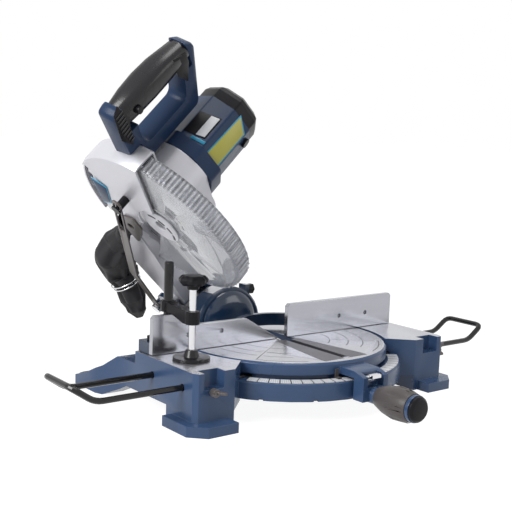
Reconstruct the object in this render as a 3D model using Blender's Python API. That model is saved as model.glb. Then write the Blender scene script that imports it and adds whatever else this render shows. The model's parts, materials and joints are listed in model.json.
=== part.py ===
"""Compound mitre saw with a D-handle, a tilting chop head and a side clamp.

The saw stands as photographed: head raised, tilted 45 degrees to the left, table
square to the fence. Metres, +Z up, +X to the user's right, +Y away from the user.
The base is modelled round the turntable's axis, with the fence face at y = 0.
The head is modelled round the blade's centre: x across the blade, z up in its
plane. Empties on the joint axes carry it to its place.
"""
import math

import bmesh
import bpy
from mathutils import Matrix, Vector

# Fits and clearances
SEAT_GAP = 0.0003
RUNNING_GAP = 0.0008
SWING_GAP = 0.004
OVERRUN = 0.006
MERGE_DISTANCE = 0.00001
EDGE_SHARE = 0.45

# Table and turntable
TABLE_HEIGHT = 0.0832
TABLE_RADIUS = 0.165
TABLE_RIM_HEIGHT = 0.018
TABLE_EDGE_CHAMFER = 0.0035
TABLE_DECK_THICKNESS = 0.009
TABLE_HUB_RADIUS = 0.030
TABLE_HUB_DEPTH = 0.030
KERF_CHANNEL_LEFT = 0.009
KERF_CHANNEL_RIGHT = 0.017
KERF_CHANNEL_MARGIN = 0.015
KERF_CHANNEL_FRONT = TABLE_RADIUS - KERF_CHANNEL_MARGIN
KERF_CHANNEL_BACK = 0.080
KERF_SLOT_LEFT = 0.0035
KERF_SLOT_RIGHT = 0.0075
KERF_INSERT_THICKNESS = 0.004
KERF_INSERT_FRONT_WIDTH = 0.042
KERF_INSERT_BACK_WIDTH = 0.022
KERF_INSERT_BACK = 0.012
KERF_STEP_SHARE = 0.9

# Base casting
SKIRT_REACH = 0.023
SKIRT_RADIUS = TABLE_RADIUS + SKIRT_REACH
SKIRT_WALL = 0.011
SKIRT_DROP = 0.0242
SKIRT_TOP = TABLE_HEIGHT - SKIRT_DROP
SKIRT_HEIGHT = 0.026
SKIRT_BOTTOM = SKIRT_TOP - SKIRT_HEIGHT
SKIRT_SPAN = math.radians(106)
SKIRT_NOTCH_WIDTH = 0.006
SKIRT_NOTCH_DEPTH = 0.003
SKIRT_NOTCH_COUNT = 5
SKIRT_NOTCH_STEP = math.radians(24)
FLOOR_THICKNESS = 0.006
FLOOR_MARGIN = 0.035
FLOOR_RADIUS = TABLE_RADIUS - FLOOR_MARGIN
LAND_MARGIN = 0.007
LAND_WIDTH = 0.016
LAND_OUTER = TABLE_RADIUS - LAND_MARGIN
LAND_INNER = LAND_OUTER - LAND_WIDTH
BOSS_RADIUS = 0.024
PIVOT_BOLT_RADIUS = 0.007
PIVOT_HEAD_RADIUS = 0.012
PIVOT_HEAD_HEIGHT = 0.006
BLOCK_INSET = 0.016
BLOCK_WIDTH = 0.065
BLOCK_INNER = TABLE_RADIUS + BLOCK_INSET
BLOCK_OUTER = BLOCK_INNER + BLOCK_WIDTH
BLOCK_FRONT_INSET = 0.0454
BLOCK_FRONT = TABLE_RADIUS - BLOCK_FRONT_INSET
BLOCK_BACK = 0.040
BLOCK_CORNER = 0.0045
BLOCK_WAIST_FRONT = 0.086
BLOCK_WAIST_INNER = 0.147
BLOCK_TABLE_GAP = 0.0035
BLOCK_WALL = 0.005
BLOCK_DECK = 0.008
POCKET_WIDTH = 0.033
POCKET_DEPTH = 0.024
POCKET_REACH = 0.018
POCKET_INSET = 0.0303
POCKET_CENTRE = BLOCK_OUTER - POCKET_INSET
FOOT_HEIGHT = 0.015
FOOT_REACH = 0.0159
FOOT_INSET = 0.009
FOOT_OUTER = BLOCK_OUTER + FOOT_REACH
FOOT_INNER = BLOCK_INNER + FOOT_INSET
FOOT_LIP = 0.0241
FOOT_FRONT = BLOCK_FRONT + FOOT_LIP
FOOT_CHAMFER = 0.022
FOOT_BACK = 0.061
ANKLE_BACK = 0.046
ARCH_HEIGHT = 0.024
REAR_FOOT_REACH = 0.0168
REAR_FOOT_WIDTH = 0.0298
REAR_FOOT_OUTER = BLOCK_OUTER + REAR_FOOT_REACH
REAR_FOOT_INNER = REAR_FOOT_OUTER - REAR_FOOT_WIDTH
REAR_FOOT_FRONT = 0.131
REAR_FOOT_BACK = 0.196
REAR_LEG_WIDTH = 0.041
REAR_LEG_INNER = BLOCK_OUTER - REAR_LEG_WIDTH
REAR_LEG_DROP = 0.0187
REAR_LEG_TOP = TABLE_HEIGHT - REAR_LEG_DROP
REAR_SLOPE_TOP = 0.090
REAR_SLOPE_KNEE = 0.117
REAR_SLOPE_KNEE_SHARE = 0.713
REAR_SLOPE_TOE_SHARE = 0.426
REAR_SLOPE_TOE = 0.158

# Scale ring
SCALE_INNER = TABLE_RADIUS + BLOCK_TABLE_GAP
SCALE_THICKNESS = 0.0012
SCALE_SPAN = math.radians(55)
SCALE_EDGE = 0.0015

# Fence
FENCE_END_MARGIN = 0.0042
FENCE_HALF_LENGTH = BLOCK_OUTER - FENCE_END_MARGIN
FENCE_THICKNESS = 0.008
FENCE_HEIGHT_RIGHT = 0.0533
FENCE_HEIGHT_LEFT = 0.0381
FENCE_HEIGHT_END = 0.0575
FENCE_STEP_MARGIN = 0.0428
FENCE_STEP_WIDTH = 0.033
FENCE_STEP_OUTER = FENCE_HALF_LENGTH - FENCE_STEP_MARGIN
FENCE_STEP_INNER = FENCE_STEP_OUTER - FENCE_STEP_WIDTH
FENCE_TIP = 0.0073
FENCE_SLOPE_TOP = 0.072
FENCE_RIGHT_START = 0.0099
FENCE_CORNER = 0.004
FENCE_FOOT_LENGTH = 0.0698
FENCE_FOOT_INNER = FENCE_HALF_LENGTH - FENCE_FOOT_LENGTH
FENCE_FOOT_BACK = 0.038
FENCE_FOOT_HEIGHT = 0.017
FENCE_HOLE_RADIUS = 0.0035
FENCE_HOLE_HEIGHT = 0.0245
FENCE_HOLE_SHARES = (-0.746, -0.494, 0.504, 0.7514)
BRIDGE_INNER = 0.067
BRIDGE_OUTER = 0.077
BRIDGE_BOTTOM = 0.006
BRIDGE_TOP = 0.026
BRIDGE_SPAN = math.radians(172)
FENCE_BOLT_RADIUS = 0.0045
FENCE_BOLT_HEAD = 0.007
FENCE_BOLT_HEAD_HEIGHT = 0.006
FENCE_BOLT_MARGIN = 0.0138
FENCE_BOLT_X = FENCE_HALF_LENGTH - FENCE_BOLT_MARGIN
FENCE_BOLT_Y = 0.024

# Clamp
POST_INSET = 0.0378
POST_X = POST_INSET - FENCE_HALF_LENGTH
POST_Y = 0.0185
POST_RADIUS = 0.007
POST_HEIGHT = 0.1333
POST_TOP = TABLE_HEIGHT + POST_HEIGHT
POST_CHAMFER = 0.002
POST_SEAT = 0.014
ARM_CLEARANCE = 0.0510
ARM_DEPTH = 0.0188
ARM_LOW = TABLE_HEIGHT + ARM_CLEARANCE
ARM_HIGH = ARM_LOW + ARM_DEPTH
ARM_RISE = 0.0085
ARM_COLLAR_RISE = 0.0055
ARM_COLLAR_HIGH = ARM_HIGH + ARM_COLLAR_RISE
ARM_WIDTH = 0.016
COLLAR_RADIUS = 0.0115
SCREW_OFFSET = 0.001
SCREW_X = POST_X + SCREW_OFFSET
SCREW_Y = -0.0435
SCREW_RADIUS = 0.005
SLEEVE_RADIUS = 0.0105
SCREW_HEIGHT = 0.1068
SCREW_TOP = TABLE_HEIGHT + SCREW_HEIGHT
PAD_RADIUS = 0.027
PAD_RIM = 0.004
PAD_CONE_RADIUS = 0.0115
PAD_NECK_RADIUS = 0.0085
PAD_HEIGHT = 0.014
PAD_SOCKET = 0.008
KNOB_OVERLAP = 0.0055
KNOB_HEIGHT = 0.020
KNOB_LOW = SCREW_TOP - KNOB_OVERLAP
KNOB_HIGH = KNOB_LOW + KNOB_HEIGHT
KNOB_RADIUS = 0.0220
KNOB_CHAMFER = 0.005
KNOB_LOBE = 0.0035
KNOB_LOBES = 7
KNOB_STEPS = 42
KNOB_COLLAR_RADIUS = 0.0085
KNOB_COLLAR_LENGTH = 0.006

# Extension bars
BAR_RADIUS = 0.0044
BAR_DROP = 0.0252
BAR_HEIGHT = TABLE_HEIGHT - BAR_DROP
BAR_BACK_Y = -0.008
BAR_FRONT_INSET = 0.0336
BAR_FRONT_Y = BAR_FRONT_INSET - BLOCK_FRONT
BAR_ENGAGED = 0.126
BAR_REACH = 0.133
BAR_SLOPE = 0.033
BAR_INSIDE = BLOCK_OUTER - BAR_ENGAGED
BAR_BEND = BLOCK_OUTER + BAR_REACH
BAR_END = BAR_BEND + BAR_SLOPE
BAR_RISE = 0.0225
BAR_PUSHED_IN = 0.027
BAR_CORNER = 0.012

# Wing bolts
WING_SHANK_RADIUS = 0.003
WING_SHANK_LENGTH = 0.016
WING_HUB_RADIUS = 0.006
WING_HUB_LENGTH = 0.010
WING_SPAN = 0.021
WING_THICKNESS = 0.0035
WING_INSET = 0.0275
WING_DROP = 0.0272
WING_X = BLOCK_OUTER - WING_INSET
WING_Z = TABLE_HEIGHT - WING_DROP
WING_SIDE_INSET = 0.0156
WING_SIDE_Y = WING_SIDE_INSET - BLOCK_FRONT

# Rear support bar
SUPPORT_Y = 0.214
SUPPORT_FRONT = 0.140

# Mitre arm and lock handle
MITRE_ARM_HALF = 0.0245
MITRE_ARM_REACH = 0.024
MITRE_ARM_FRONT = SKIRT_RADIUS + MITRE_ARM_REACH
MITRE_ARM_THICKNESS = 0.020
MITRE_ARM_BACK = MITRE_ARM_FRONT - MITRE_ARM_THICKNESS
MITRE_ARM_DROP = 0.0077
MITRE_ARM_DEPTH = 0.0415
MITRE_ARM_TOP = TABLE_HEIGHT - MITRE_ARM_DROP
MITRE_ARM_BOTTOM = MITRE_ARM_TOP - MITRE_ARM_DEPTH
MITRE_POCKET_HALF = 0.0155
MITRE_POCKET_DEPTH = 0.022
HANDLE_COLLAR_RADIUS = 0.0125
HANDLE_COLLAR_LENGTH = 0.008
HANDLE_RISE = 0.0075
HANDLE_Z = MITRE_ARM_BOTTOM + HANDLE_RISE
HANDLE_START = MITRE_ARM_FRONT + HANDLE_COLLAR_LENGTH + RUNNING_GAP
HANDLE_BARREL_LENGTH = 0.0647
HANDLE_BARREL_END = HANDLE_START + HANDLE_BARREL_LENGTH
HANDLE_RING_LENGTH = 0.006
HANDLE_RING_END = HANDLE_BARREL_END + HANDLE_RING_LENGTH
HANDLE_CAP_LENGTH = 0.007
HANDLE_END = HANDLE_RING_END + HANDLE_CAP_LENGTH
HANDLE_BARREL_SHARES = ((0, 0), (0.25, 0.62), (0.55, 1), (0.8, 0.92), (1, 0.62))
HANDLE_NECK_RADIUS = 0.0145
HANDLE_RADIUS = 0.024
HANDLE_RING_RADIUS = 0.0195
HANDLE_CAP_RADIUS = 0.0182
HANDLE_FLUTES = 8
HANDLE_FLUTE_RADIUS = 0.006
HANDLE_FLUTE_DEPTH = 0.0018
LOCK_ROD_RADIUS = 0.004
LOCK_ROD_GAP = 0.0015
LOCK_ROD_TIP = SKIRT_RADIUS + LOCK_ROD_GAP
LATCH_HALF = 0.0085
LATCH_LENGTH = 0.017
LATCH_THICKNESS = 0.003
LATCH_PIN_RADIUS = 0.002
LATCH_DROP = 0.016
LATCH_NOSE = 0.0036
POINTER_WIDTH = 0.006
POINTER_REACH = 0.009
POINTER_THICKNESS = 0.0015

# Trunnion on the turntable
TRUNNION_RADIUS = 0.066
TRUNNION_DROP = 0.005
TRUNNION_INSET = 0.025
TRUNNION_THICKNESS = 0.036
TRUNNION_FRONT = TABLE_RADIUS - TRUNNION_INSET
TRUNNION_BACK = TRUNNION_FRONT + TRUNNION_THICKNESS
TRUNNION_DEPTH = 0.0402
TRUNNION_BOTTOM = TABLE_HEIGHT - TRUNNION_DEPTH
TRUNNION_RECESS = 0.009
TRUNNION_RIM = 0.009
CARRIER_HALF = 0.040
BEVEL_SHAFT_RADIUS = 0.009
BEVEL_BOSS_LENGTH = 0.0852
BEVEL_BOSS_FRONT = TRUNNION_BACK + RUNNING_GAP
BEVEL_BOSS_BACK = BEVEL_BOSS_FRONT + BEVEL_BOSS_LENGTH
BEVEL_SHAFT_INSET = 0.010
BEVEL_SHAFT_TAIL = 0.030
BEVEL_SHAFT_FRONT = TRUNNION_FRONT + BEVEL_SHAFT_INSET
BEVEL_SHAFT_BACK = BEVEL_BOSS_BACK + BEVEL_SHAFT_TAIL
STOP_LUG_X = 0.046
STOP_BOLT_RADIUS = 0.0035
STOP_KNOB_RADIUS = 0.0095
STOP_KNOB_LENGTH = 0.012
STOP_Y = TRUNNION_FRONT + TRUNNION_THICKNESS / 2
LOCK_KNOB_RADIUS = 0.019
LOCK_KNOB_LENGTH = 0.016
LOCK_KNOB_LOBES = 5
LOCK_KNOB_DIP_SHARE = 0.72

# Bevel arm
BEVEL_BOSS_RADIUS = 0.044
PIVOT_SETBACK = 0.0382
PIVOT_Y = BEVEL_BOSS_FRONT + PIVOT_SETBACK
PIVOT_Z = 0.075
EAR_INNER = 0.030
EAR_OUTER = 0.038
EAR_RADIUS = 0.021
EAR_FRONT_SHARE = 1.35
EAR_BACK_SHARE = 1.7
EAR_DIP = math.radians(8)
PIVOT_PIN_RADIUS = 0.007
PIVOT_PIN_HEAD_RADIUS = 0.011
PIVOT_PIN_HEAD = 0.005
LINK_SETBACK = 0.0433
LINK_Y = PIVOT_Y + LINK_SETBACK
LINK_Z = 0.0593
LINK_PIN_RADIUS = 0.004
LINK_LUG_RADIUS = 0.010
LINK_LUG_SPAN = math.radians(144)
LOCK_PIN_RADIUS = 0.004
LOCK_PIN_KNOB_RADIUS = 0.008
LOCK_PIN_KNOB_LENGTH = 0.012
LOCK_PIN_REACH = 0.020
LOCK_PIN_Z = 0.034
LOCK_PIN_FORWARD = 0.009
LOCK_PIN_Y = PIVOT_Y - LOCK_PIN_FORWARD

# Return spring
SPRING_WIRE = 0.0036
SPRING_RADIUS = 0.0185
SPRING_TURNS = 5
SPRING_PITCH = 0.0046
SPRING_LEG = 0.045
SPRING_POINTS = 10
SPRING_START = 0.0275

# Link bar
LINK_INNER = 0.039
LINK_THICKNESS = 0.003
LINK_WIDTH = 0.016
LINK_SLOT_WIDTH = 0.0105
LINK_SLOT_LENGTH = 0.075
LINK_SLOT_OVER = 0.0148
LINK_SLOT_CORNER_SHARE = 0.9
LINK_END = 0.005
LINK_BEND_FORWARD = 0.0305
LINK_BEND_RISE = 0.0975

# Blade and guards
BLADE_FORWARD = 0.171
BLADE_Y = PIVOT_Y - BLADE_FORWARD
BLADE_Z = 0.273
BLADE_RADIUS = 0.1275
BLADE_THICKNESS = 0.0022
BLADE_TEETH = 40
BLADE_GULLET = 0.007
BLADE_TOOTH_SHARES = ((0, 0), (0.12, 1), (0.45, 0.8))
BLADE_SLOTS = 4
BLADE_SLOT_TURN = math.radians(4.6)
BLADE_SLOT_WIDTH = 0.002
BLADE_SLOT_DEPTH = 0.016
GUARD_GAP = 0.0125
GUARD_RADIUS = BLADE_RADIUS + GUARD_GAP
GUARD_HALF_WIDTH = 0.01325
GUARD_WALL = 0.0024
GUARD_RIB_HEIGHT = 0.0022
GUARD_RIBS = 31
GUARD_RIB_SHARE = 0.92
GUARD_OVERSWEEP = math.radians(23)
GUARD_START = math.radians(-140)
GUARD_END = math.radians(58)
GUARD_HUB_RADIUS = 0.034
GUARD_HUB_HOLE = 0.0285
GUARD_WINDOW_WIDTH = 0.008
GUARD_WINDOWS = (math.radians(-95), math.radians(-70), math.radians(20))
GUARD_WINDOW_SPAN = math.radians(16)
GUARD_WINDOW_RADIUS = 0.050
HUB_PLATE_THICKNESS = 0.002
UPPER_GAP = 0.007
UPPER_RADIUS = GUARD_RADIUS + UPPER_GAP
UPPER_HALF_WIDTH = 0.0205
UPPER_WALL = 0.0032
UPPER_START = math.radians(58)
GUARD_CREASE_SHARES = (
    (124, 0.4082, 0.8776), (132, 0.3810, 0.7687), (140, 0.3503, 0.6701), (148, 0.3197, 0.5714),
    (154, 0.4014, 0.4762), (160, 0.4830, 0.3878), (166, 0.5646, 0.2925), (172, 0.6803, 0.1633),
)
GUARD_CREASE = [(math.radians(degrees), UPPER_RADIUS * y, UPPER_RADIUS * z)
                for degrees, y, z in GUARD_CREASE_SHARES]
UPPER_HUB_RADIUS = 0.037
UPPER_CHAMFER = 0.004
LINK_STUD_FORWARD = -0.0192
LINK_STUD_UP = 0.0619
LINK_STUD_RADIUS = 0.0065
LINK_STUD_PIN = 0.0038
LINK_STUD_CAP = 0.0082
LINK_STUD_CAP_HEIGHT = 0.0025
STAY_LENGTH = 0.104
STAY_SHARES = ((0.731, 0.202), (0.481, 0.163), (0.5, -0.067), (0.692, -0.231), (0.933, -0.394),
               (1, -0.394), (0.971, -0.096))
STAY_HOLE_SHARES = (0.76, -0.029)

# Head arm
HEAD_ARM_BACK = 0.026
HEAD_ARM_TURN = math.radians(165)
HEAD_WEB_START = 0.002
HEAD_BOSS_RADIUS = 0.0135
HEAD_BOSS_HALF = 0.0292
SPRING_ROOM = 0.0218
ARM_TOP_FRONT = 0.092
ARM_TOP_BACK = 0.124
ARM_TOP_DROP = 0.036
ARM_SHOULDER_BACK = 0.162
ARM_SHOULDER_DROP = 0.065
ARM_SPINE_DROP = 0.104
ARM_KNEE_FRONT = 0.103
ARM_KNEE_DROP = 0.084

# Spindle and blade clamp
SPINDLE_RADIUS = 0.0145
SPINDLE_TAIL_RADIUS = 0.007
FLANGE_RADIUS = 0.0235
FLANGE_THICKNESS = 0.0045
FLANGE_FACE_SHARE = 0.9
ARBOR_BOLT_HEAD = 0.009
ARBOR_BOLT_HEIGHT = 0.006
ARBOR_BOLT_RADIUS = 0.005
GEAR_X = 0.038
GEAR_WIDTH = 0.010
SPINDLE_TAIL = 0.008
SPINDLE_LENGTH = GEAR_X + GEAR_WIDTH + SPINDLE_TAIL

# Motor
MOTOR_FORWARD = 0.020
MOTOR_UP = 0.046
MOTOR_RADIUS = 0.0475
MOTOR_FACET = 0.006
MOTOR_WALL = 0.0035
HOUSING_START = UPPER_HALF_WIDTH + SEAT_GAP
HOUSING_LENGTH = 0.0392
HOUSING_END = HOUSING_START + HOUSING_LENGTH
HOUSING_WALL = 0.004
HOUSING_LOW_RADIUS = 0.0455
FLANGE_BAND_LIP = 0.007
FLANGE_BAND_RADIUS = MOTOR_RADIUS + FLANGE_BAND_LIP
HOUSING_LIP = 0.001
HOUSING_TOP_RADIUS = FLANGE_BAND_RADIUS + HOUSING_LIP
FLANGE_BAND_WIDTH = 0.0237
FLANGE_BAND_START = HOUSING_END + SEAT_GAP
FLANGE_BAND_END = FLANGE_BAND_START + FLANGE_BAND_WIDTH
MOTOR_LENGTH = 0.079
MOTOR_END = FLANGE_BAND_END + MOTOR_LENGTH
CAP_LENGTH = 0.030
CAP_END = MOTOR_END + CAP_LENGTH
CAP_STEP = 0.0015
CAP_RADIUS = MOTOR_RADIUS - CAP_STEP
CAP_CHAMFER = 0.014
CAP_FACE_SHARE = 0.8
CAP_WALL = 0.003
CAP_SLOTS = 5
CAP_SLOT_WIDTH = 0.0035
CAP_SLOT_PITCH = 0.0084
CAP_SLOT_SHARE = 0.45
ARMATURE_INSET = 0.0062
ARMATURE_TAIL = 0.018
ARMATURE_SHAFT_RADIUS = 0.005
ARMATURE_START = HOUSING_START + ARMATURE_INSET
ARMATURE_END = MOTOR_END + ARMATURE_TAIL
ARMATURE_CORE_RADIUS = 0.024
ARMATURE_CORE_GAP = 0.014
ARMATURE_CORE_LENGTH = 0.042
ARMATURE_CORE_START = FLANGE_BAND_END + ARMATURE_CORE_GAP
ARMATURE_CORE_END = ARMATURE_CORE_START + ARMATURE_CORE_LENGTH
COMMUTATOR_RADIUS = 0.013
COMMUTATOR_GAP = 0.003
COMMUTATOR_LENGTH = 0.015
COMMUTATOR_START = ARMATURE_CORE_END + COMMUTATOR_GAP
COMMUTATOR_END = COMMUTATOR_START + COMMUTATOR_LENGTH
FAN_RADIUS = 0.037
FAN_WIDTH = 0.010
FAN_END = FLANGE_BAND_END
FAN_START = FAN_END - FAN_WIDTH
PINION_TEETH = 10
GEAR_TEETH = 35
GEAR_BACKLASH = 0.0006
TOOTH_TIP_SHARE = 0.13
TOOTH_ROOT_SHARE = 0.29
TOOTH_HEIGHT_SHARE = 0.75
TOOTH_DEPTH_SHARE = 1.0
STATOR_GAP = 0.001
BEARING_RADIUS = 0.013
BEARING_WIDTH = 0.008
TAIL_SEAT_SHARE = 0.75
BRUSH_CAP_RADIUS = 0.0075
BRUSH_CAP_HEIGHT = 0.004
BRUSH_HOLDER_RADIUS = 0.0055
BRUSH_X = (COMMUTATOR_START + COMMUTATOR_END) / 2

# D-handle, in its own plane: along the grip and down towards the saw
HANDLE_LEAD = 0.052
HANDLE_CLEARANCE = 0.1005
HANDLE_GRIP_FORWARD = MOTOR_FORWARD + HANDLE_LEAD
HANDLE_GRIP_UP = MOTOR_UP + MOTOR_RADIUS + HANDLE_CLEARANCE
HANDLE_LEAN = math.radians(29)
HANDLE_LEFT = -0.003
HANDLE_RIGHT = 0.164
HANDLE_RIGHT_LOW = 0.140
HANDLE_GRIP_END = 0.148
HANDLE_TOP = 0.0205
HANDLE_TOP_DROP = 0.012
HANDLE_DEPTH = 0.098
HANDLE_HALF = 0.0165
HANDLE_HOLE_LEFT = 0.027
HANDLE_HOLE_RIGHT = 0.131
HANDLE_HOLE_TOP = 0.019
HANDLE_HOLE_BOTTOM = 0.068
HANDLE_EDGE = 0.012
GRIP_SWELL = 0.0035
GRIP_SHARES = ((0, 0, 0.25), (0.2, 0.7, 0.2), (0.42, 1, 0.2), (0.65, 0.8, 0.25), (0.82, 0.4, 0.4),
               (1, 0, 0.6))
GRIP_CORNER_SHARE = 0.75
TRIGGER_LEFT = 0.050
TRIGGER_RIGHT = 0.094
TRIGGER_HALF = 0.0075
TRIGGER_OUT = 0.008
TRIGGER_IN = 0.009
TRIGGER_SLOT_GAP = 0.0012
TRIGGER_TOE_SHARES = ((0.45, 1), (0.8, 1.15))
TRIGGER_TIP_SHARE = 0.8
LOCK_BUTTON_RADIUS = 0.0055
LOCK_BUTTON_OUT = 0.004
LOCK_BUTTON_IN = 0.010
LOCK_BUTTON_X = 0.036

# Spindle lock and dust parts
SPINDLE_LOCK_RADIUS = 0.005
SPINDLE_LOCK_OUT = 0.009
SPINDLE_LOCK_IN = 0.008
SPINDLE_LOCK_X = 0.0315
SPINDLE_LOCK_TILT = math.radians(118)
CHUTE_RADIUS = 0.015
CHUTE_WALL = 0.0025
CHUTE_INSET = 0.031
CHUTE_START = UPPER_RADIUS + CHUTE_INSET
CHUTE_LENGTH = 0.080
CHUTE_UP = 0.0975
CHUTE_TILT = math.radians(-40)
BAG_SETBACK = 0.060
BAG_START = CHUTE_START + BAG_SETBACK
BAG_PATH = (
    (0, 0.0172, -0.0125, 0.019), (-0.008, 0.0397, -0.0225, 0.026), (-0.026, 0.0637, -0.0445, 0.034),
    (-0.036, 0.0707, -0.0845, 0.031), (-0.046, 0.0707, -0.1225, 0.024), (-0.058, 0.0687, -0.1445, 0.018),
    (-0.068, 0.0667, -0.1575, 0.013), (-0.071, 0.0657, -0.1645, 0.005),
)

BEVEL_AT_REST = math.radians(-45)
MM = 0.001

ROUND_STEPS = 32
SKIRT_STEPS = 24
FINE_STEPS = 48
SMALL_STEPS = 14
TINY_STEPS = 12


# Materials
def finish(name, colour, roughness, metallic=0.0):
    material = bpy.data.materials.new(name)
    material.use_nodes = True
    shader = material.node_tree.nodes["Principled BSDF"]
    shader.inputs["Base Color"].default_value = (*colour, 1.0)
    shader.inputs["Roughness"].default_value = roughness
    shader.inputs["Metallic"].default_value = metallic
    material.diffuse_color = (*colour, 1.0)
    return material


def make_finishes():
    return {
        "blue": finish("blue_paint", (0.035, 0.075, 0.17), 0.38),
        "dark_blue": finish("dark_blue_plastic", (0.02, 0.035, 0.08), 0.45),
        "silver": finish("cast_aluminium", (0.62, 0.62, 0.65), 0.42, 0.8),
        "bare": finish("machined_aluminium", (0.70, 0.71, 0.74), 0.30, 0.9),
        "steel": finish("bright_steel", (0.72, 0.72, 0.72), 0.22, 1.0),
        "black": finish("black_plastic", (0.02, 0.02, 0.022), 0.5),
        "rubber": finish("black_rubber", (0.025, 0.022, 0.023), 0.7),
        "wire": finish("black_bar", (0.015, 0.015, 0.015), 0.25),
        "clear": finish("clear_guard", (0.85, 0.87, 0.88), 0.12),
        "insert": finish("grey_insert", (0.10, 0.10, 0.11), 0.55),
        "fabric": finish("bag_fabric", (0.02, 0.02, 0.022), 0.9),
        "taupe": finish("handle_grey", (0.17, 0.155, 0.15), 0.5),
        "copper": finish("copper_winding", (0.55, 0.25, 0.10), 0.35, 0.9),
        "white": finish("scale_white", (0.8, 0.8, 0.8), 0.5),
    }


# Solid builders
def from_points(points, faces=None):
    shape = bmesh.new()
    corners = [shape.verts.new(point) for point in points]
    for face in faces or [range(len(corners))]:
        shape.faces.new([corners[index] for index in face])
    return shape


def tidy(shape):
    bmesh.ops.remove_doubles(shape, verts=shape.verts, dist=MERGE_DISTANCE)
    bmesh.ops.recalc_face_normals(shape, faces=shape.faces)
    return shape


def box(x, y, z):
    """A block between two values on each axis."""
    shape = bmesh.new()
    bmesh.ops.create_cube(shape, size=1)
    size = [high - low for low, high in (x, y, z)]
    middle = [(high + low) / 2 for low, high in (x, y, z)]
    bmesh.ops.scale(shape, vec=size, verts=shape.verts)
    bmesh.ops.translate(shape, vec=middle, verts=shape.verts)
    return shape


def prism(outline, low, high, along="Z"):
    """An outline pushed along an axis: (x, y) along Z, (x, z) along Y, (y, z) along X."""
    lift = {
        "Z": lambda a, b: (a, b, low),
        "Y": lambda a, b: (a, low, b),
        "X": lambda a, b: (low, a, b),
    }[along]
    shape = from_points([lift(a, b) for a, b in outline])
    grown = bmesh.ops.extrude_face_region(shape, geom=list(shape.faces))
    way = {"Z": (0, 0, high - low), "Y": (0, high - low, 0), "X": (high - low, 0, 0)}[along]
    moved = [item for item in grown["geom"] if isinstance(item, bmesh.types.BMVert)]
    bmesh.ops.translate(shape, vec=way, verts=moved)
    return tidy(shape)


def turned(profile, steps=ROUND_STEPS, along="Z", centre=(0, 0, 0)):
    """A closed (radius, height) profile turned about an axis through a centre."""
    shape = bmesh.new()
    corners = [shape.verts.new((radius, 0, height)) for radius, height in profile]
    edges = [shape.edges.new((a, b)) for a, b in zip(corners, corners[1:] + corners[:1])]
    edges = [edge for edge in edges if edge.verts[0].co.x + edge.verts[1].co.x > 0]
    bmesh.ops.spin(shape, geom=corners + edges, cent=(0, 0, 0), axis=(0, 0, 1),
                   angle=2 * math.pi, steps=steps, use_merge=True)
    loose = [edge for edge in shape.edges if not edge.link_faces]
    bmesh.ops.delete(shape, geom=loose, context="EDGES")
    return placed(tidy(shape), turn_to(along, centre))


def sector(profile, start, end, steps, along="Z", centre=(0, 0, 0)):
    """A closed (radius, height) profile swept from one angle to another, with end faces."""
    shape = from_points([(radius, 0, height) for radius, height in profile])
    bmesh.ops.rotate(shape, verts=shape.verts, matrix=Matrix.Rotation(start, 3, "Z"))
    bmesh.ops.spin(shape, geom=list(shape.verts) + list(shape.edges) + list(shape.faces),
                   cent=(0, 0, 0), axis=(0, 0, 1), angle=end - start, steps=steps,
                   use_merge=False)
    return placed(tidy(shape), turn_to(along, centre))


def turn_to(along, centre):
    """The matrix that lays a shape built about Z along an axis, its zero angle kept plain."""
    place = Matrix.Translation(Vector(centre))
    if along == "X":
        # the sweep runs from the front (-Y) upwards, so angles read as seen from the right
        basis = Matrix(((0, 0, 1, 0), (-1, 0, 0, 0), (0, 1, 0, 0), (0, 0, 0, 1)))
        return place @ basis
    if along == "Y":
        basis = Matrix(((1, 0, 0, 0), (0, 0, 1, 0), (0, 1, 0, 0), (0, 0, 0, 1)))
        return place @ basis
    return place


def placed(shape, matrix):
    bmesh.ops.transform(shape, matrix=matrix, verts=shape.verts)
    bmesh.ops.recalc_face_normals(shape, faces=shape.faces)
    return shape


def disc(radius, low, high, steps=ROUND_STEPS, along="Z", centre=(0, 0, 0)):
    return turned([(0, low), (radius, low), (radius, high), (0, high)], steps, along, centre)


def ring(inner, outer, low, high, steps=ROUND_STEPS, along="Z", centre=(0, 0, 0)):
    profile = [(inner, low), (outer, low), (outer, high), (inner, high)]
    return turned(profile, steps, along, centre)


def arc(centre, radius, start, end, steps):
    """Points round a centre from one angle to another."""
    share = [index / steps for index in range(steps + 1)]
    angles = [start + (end - start) * part for part in share]
    return [(centre[0] + radius * math.cos(a), centre[1] + radius * math.sin(a)) for a in angles]


def softened(outline, radius, steps=4):
    """An outline with each corner rounded to a radius, less where an edge is short."""
    points = [Vector(point) for point in outline]
    result = []
    for index, corner in enumerate(points):
        before = points[index - 1] - corner
        after = points[(index + 1) % len(points)] - corner
        half = before.angle(after) / 2
        reach = min(radius / math.tan(half), before.length * EDGE_SHARE, after.length * EDGE_SHARE)
        bend = reach * math.tan(half)
        middle = corner + (before.normalized() + after.normalized()).normalized() * (
            bend / math.sin(half))
        first = corner + before.normalized() * reach - middle
        sweep = first.angle_signed(corner + after.normalized() * reach - middle)
        for step in range(steps + 1):
            part = first.copy()
            part.rotate(Matrix.Rotation(-sweep * step / steps, 2))
            result.append(tuple(middle + part))
    return result


def rod(points, radius, sides=8, corner=0, steps=4):
    """A round bar along points, its corners bent to a radius."""
    path = [Vector(points[0])]
    for before, here, after in zip(points, points[1:], points[2:]):
        here = Vector(here)
        if corner:
            a = (Vector(before) - here).normalized() * corner
            b = (Vector(after) - here).normalized() * corner
            for step in range(steps + 1):
                share = step / steps
                path.append(here + a * (1 - share) ** 2 + b * share ** 2)
        else:
            path.append(here)
    path.append(Vector(points[-1]))
    return swept(path, [radius] * len(path), sides)


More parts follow.
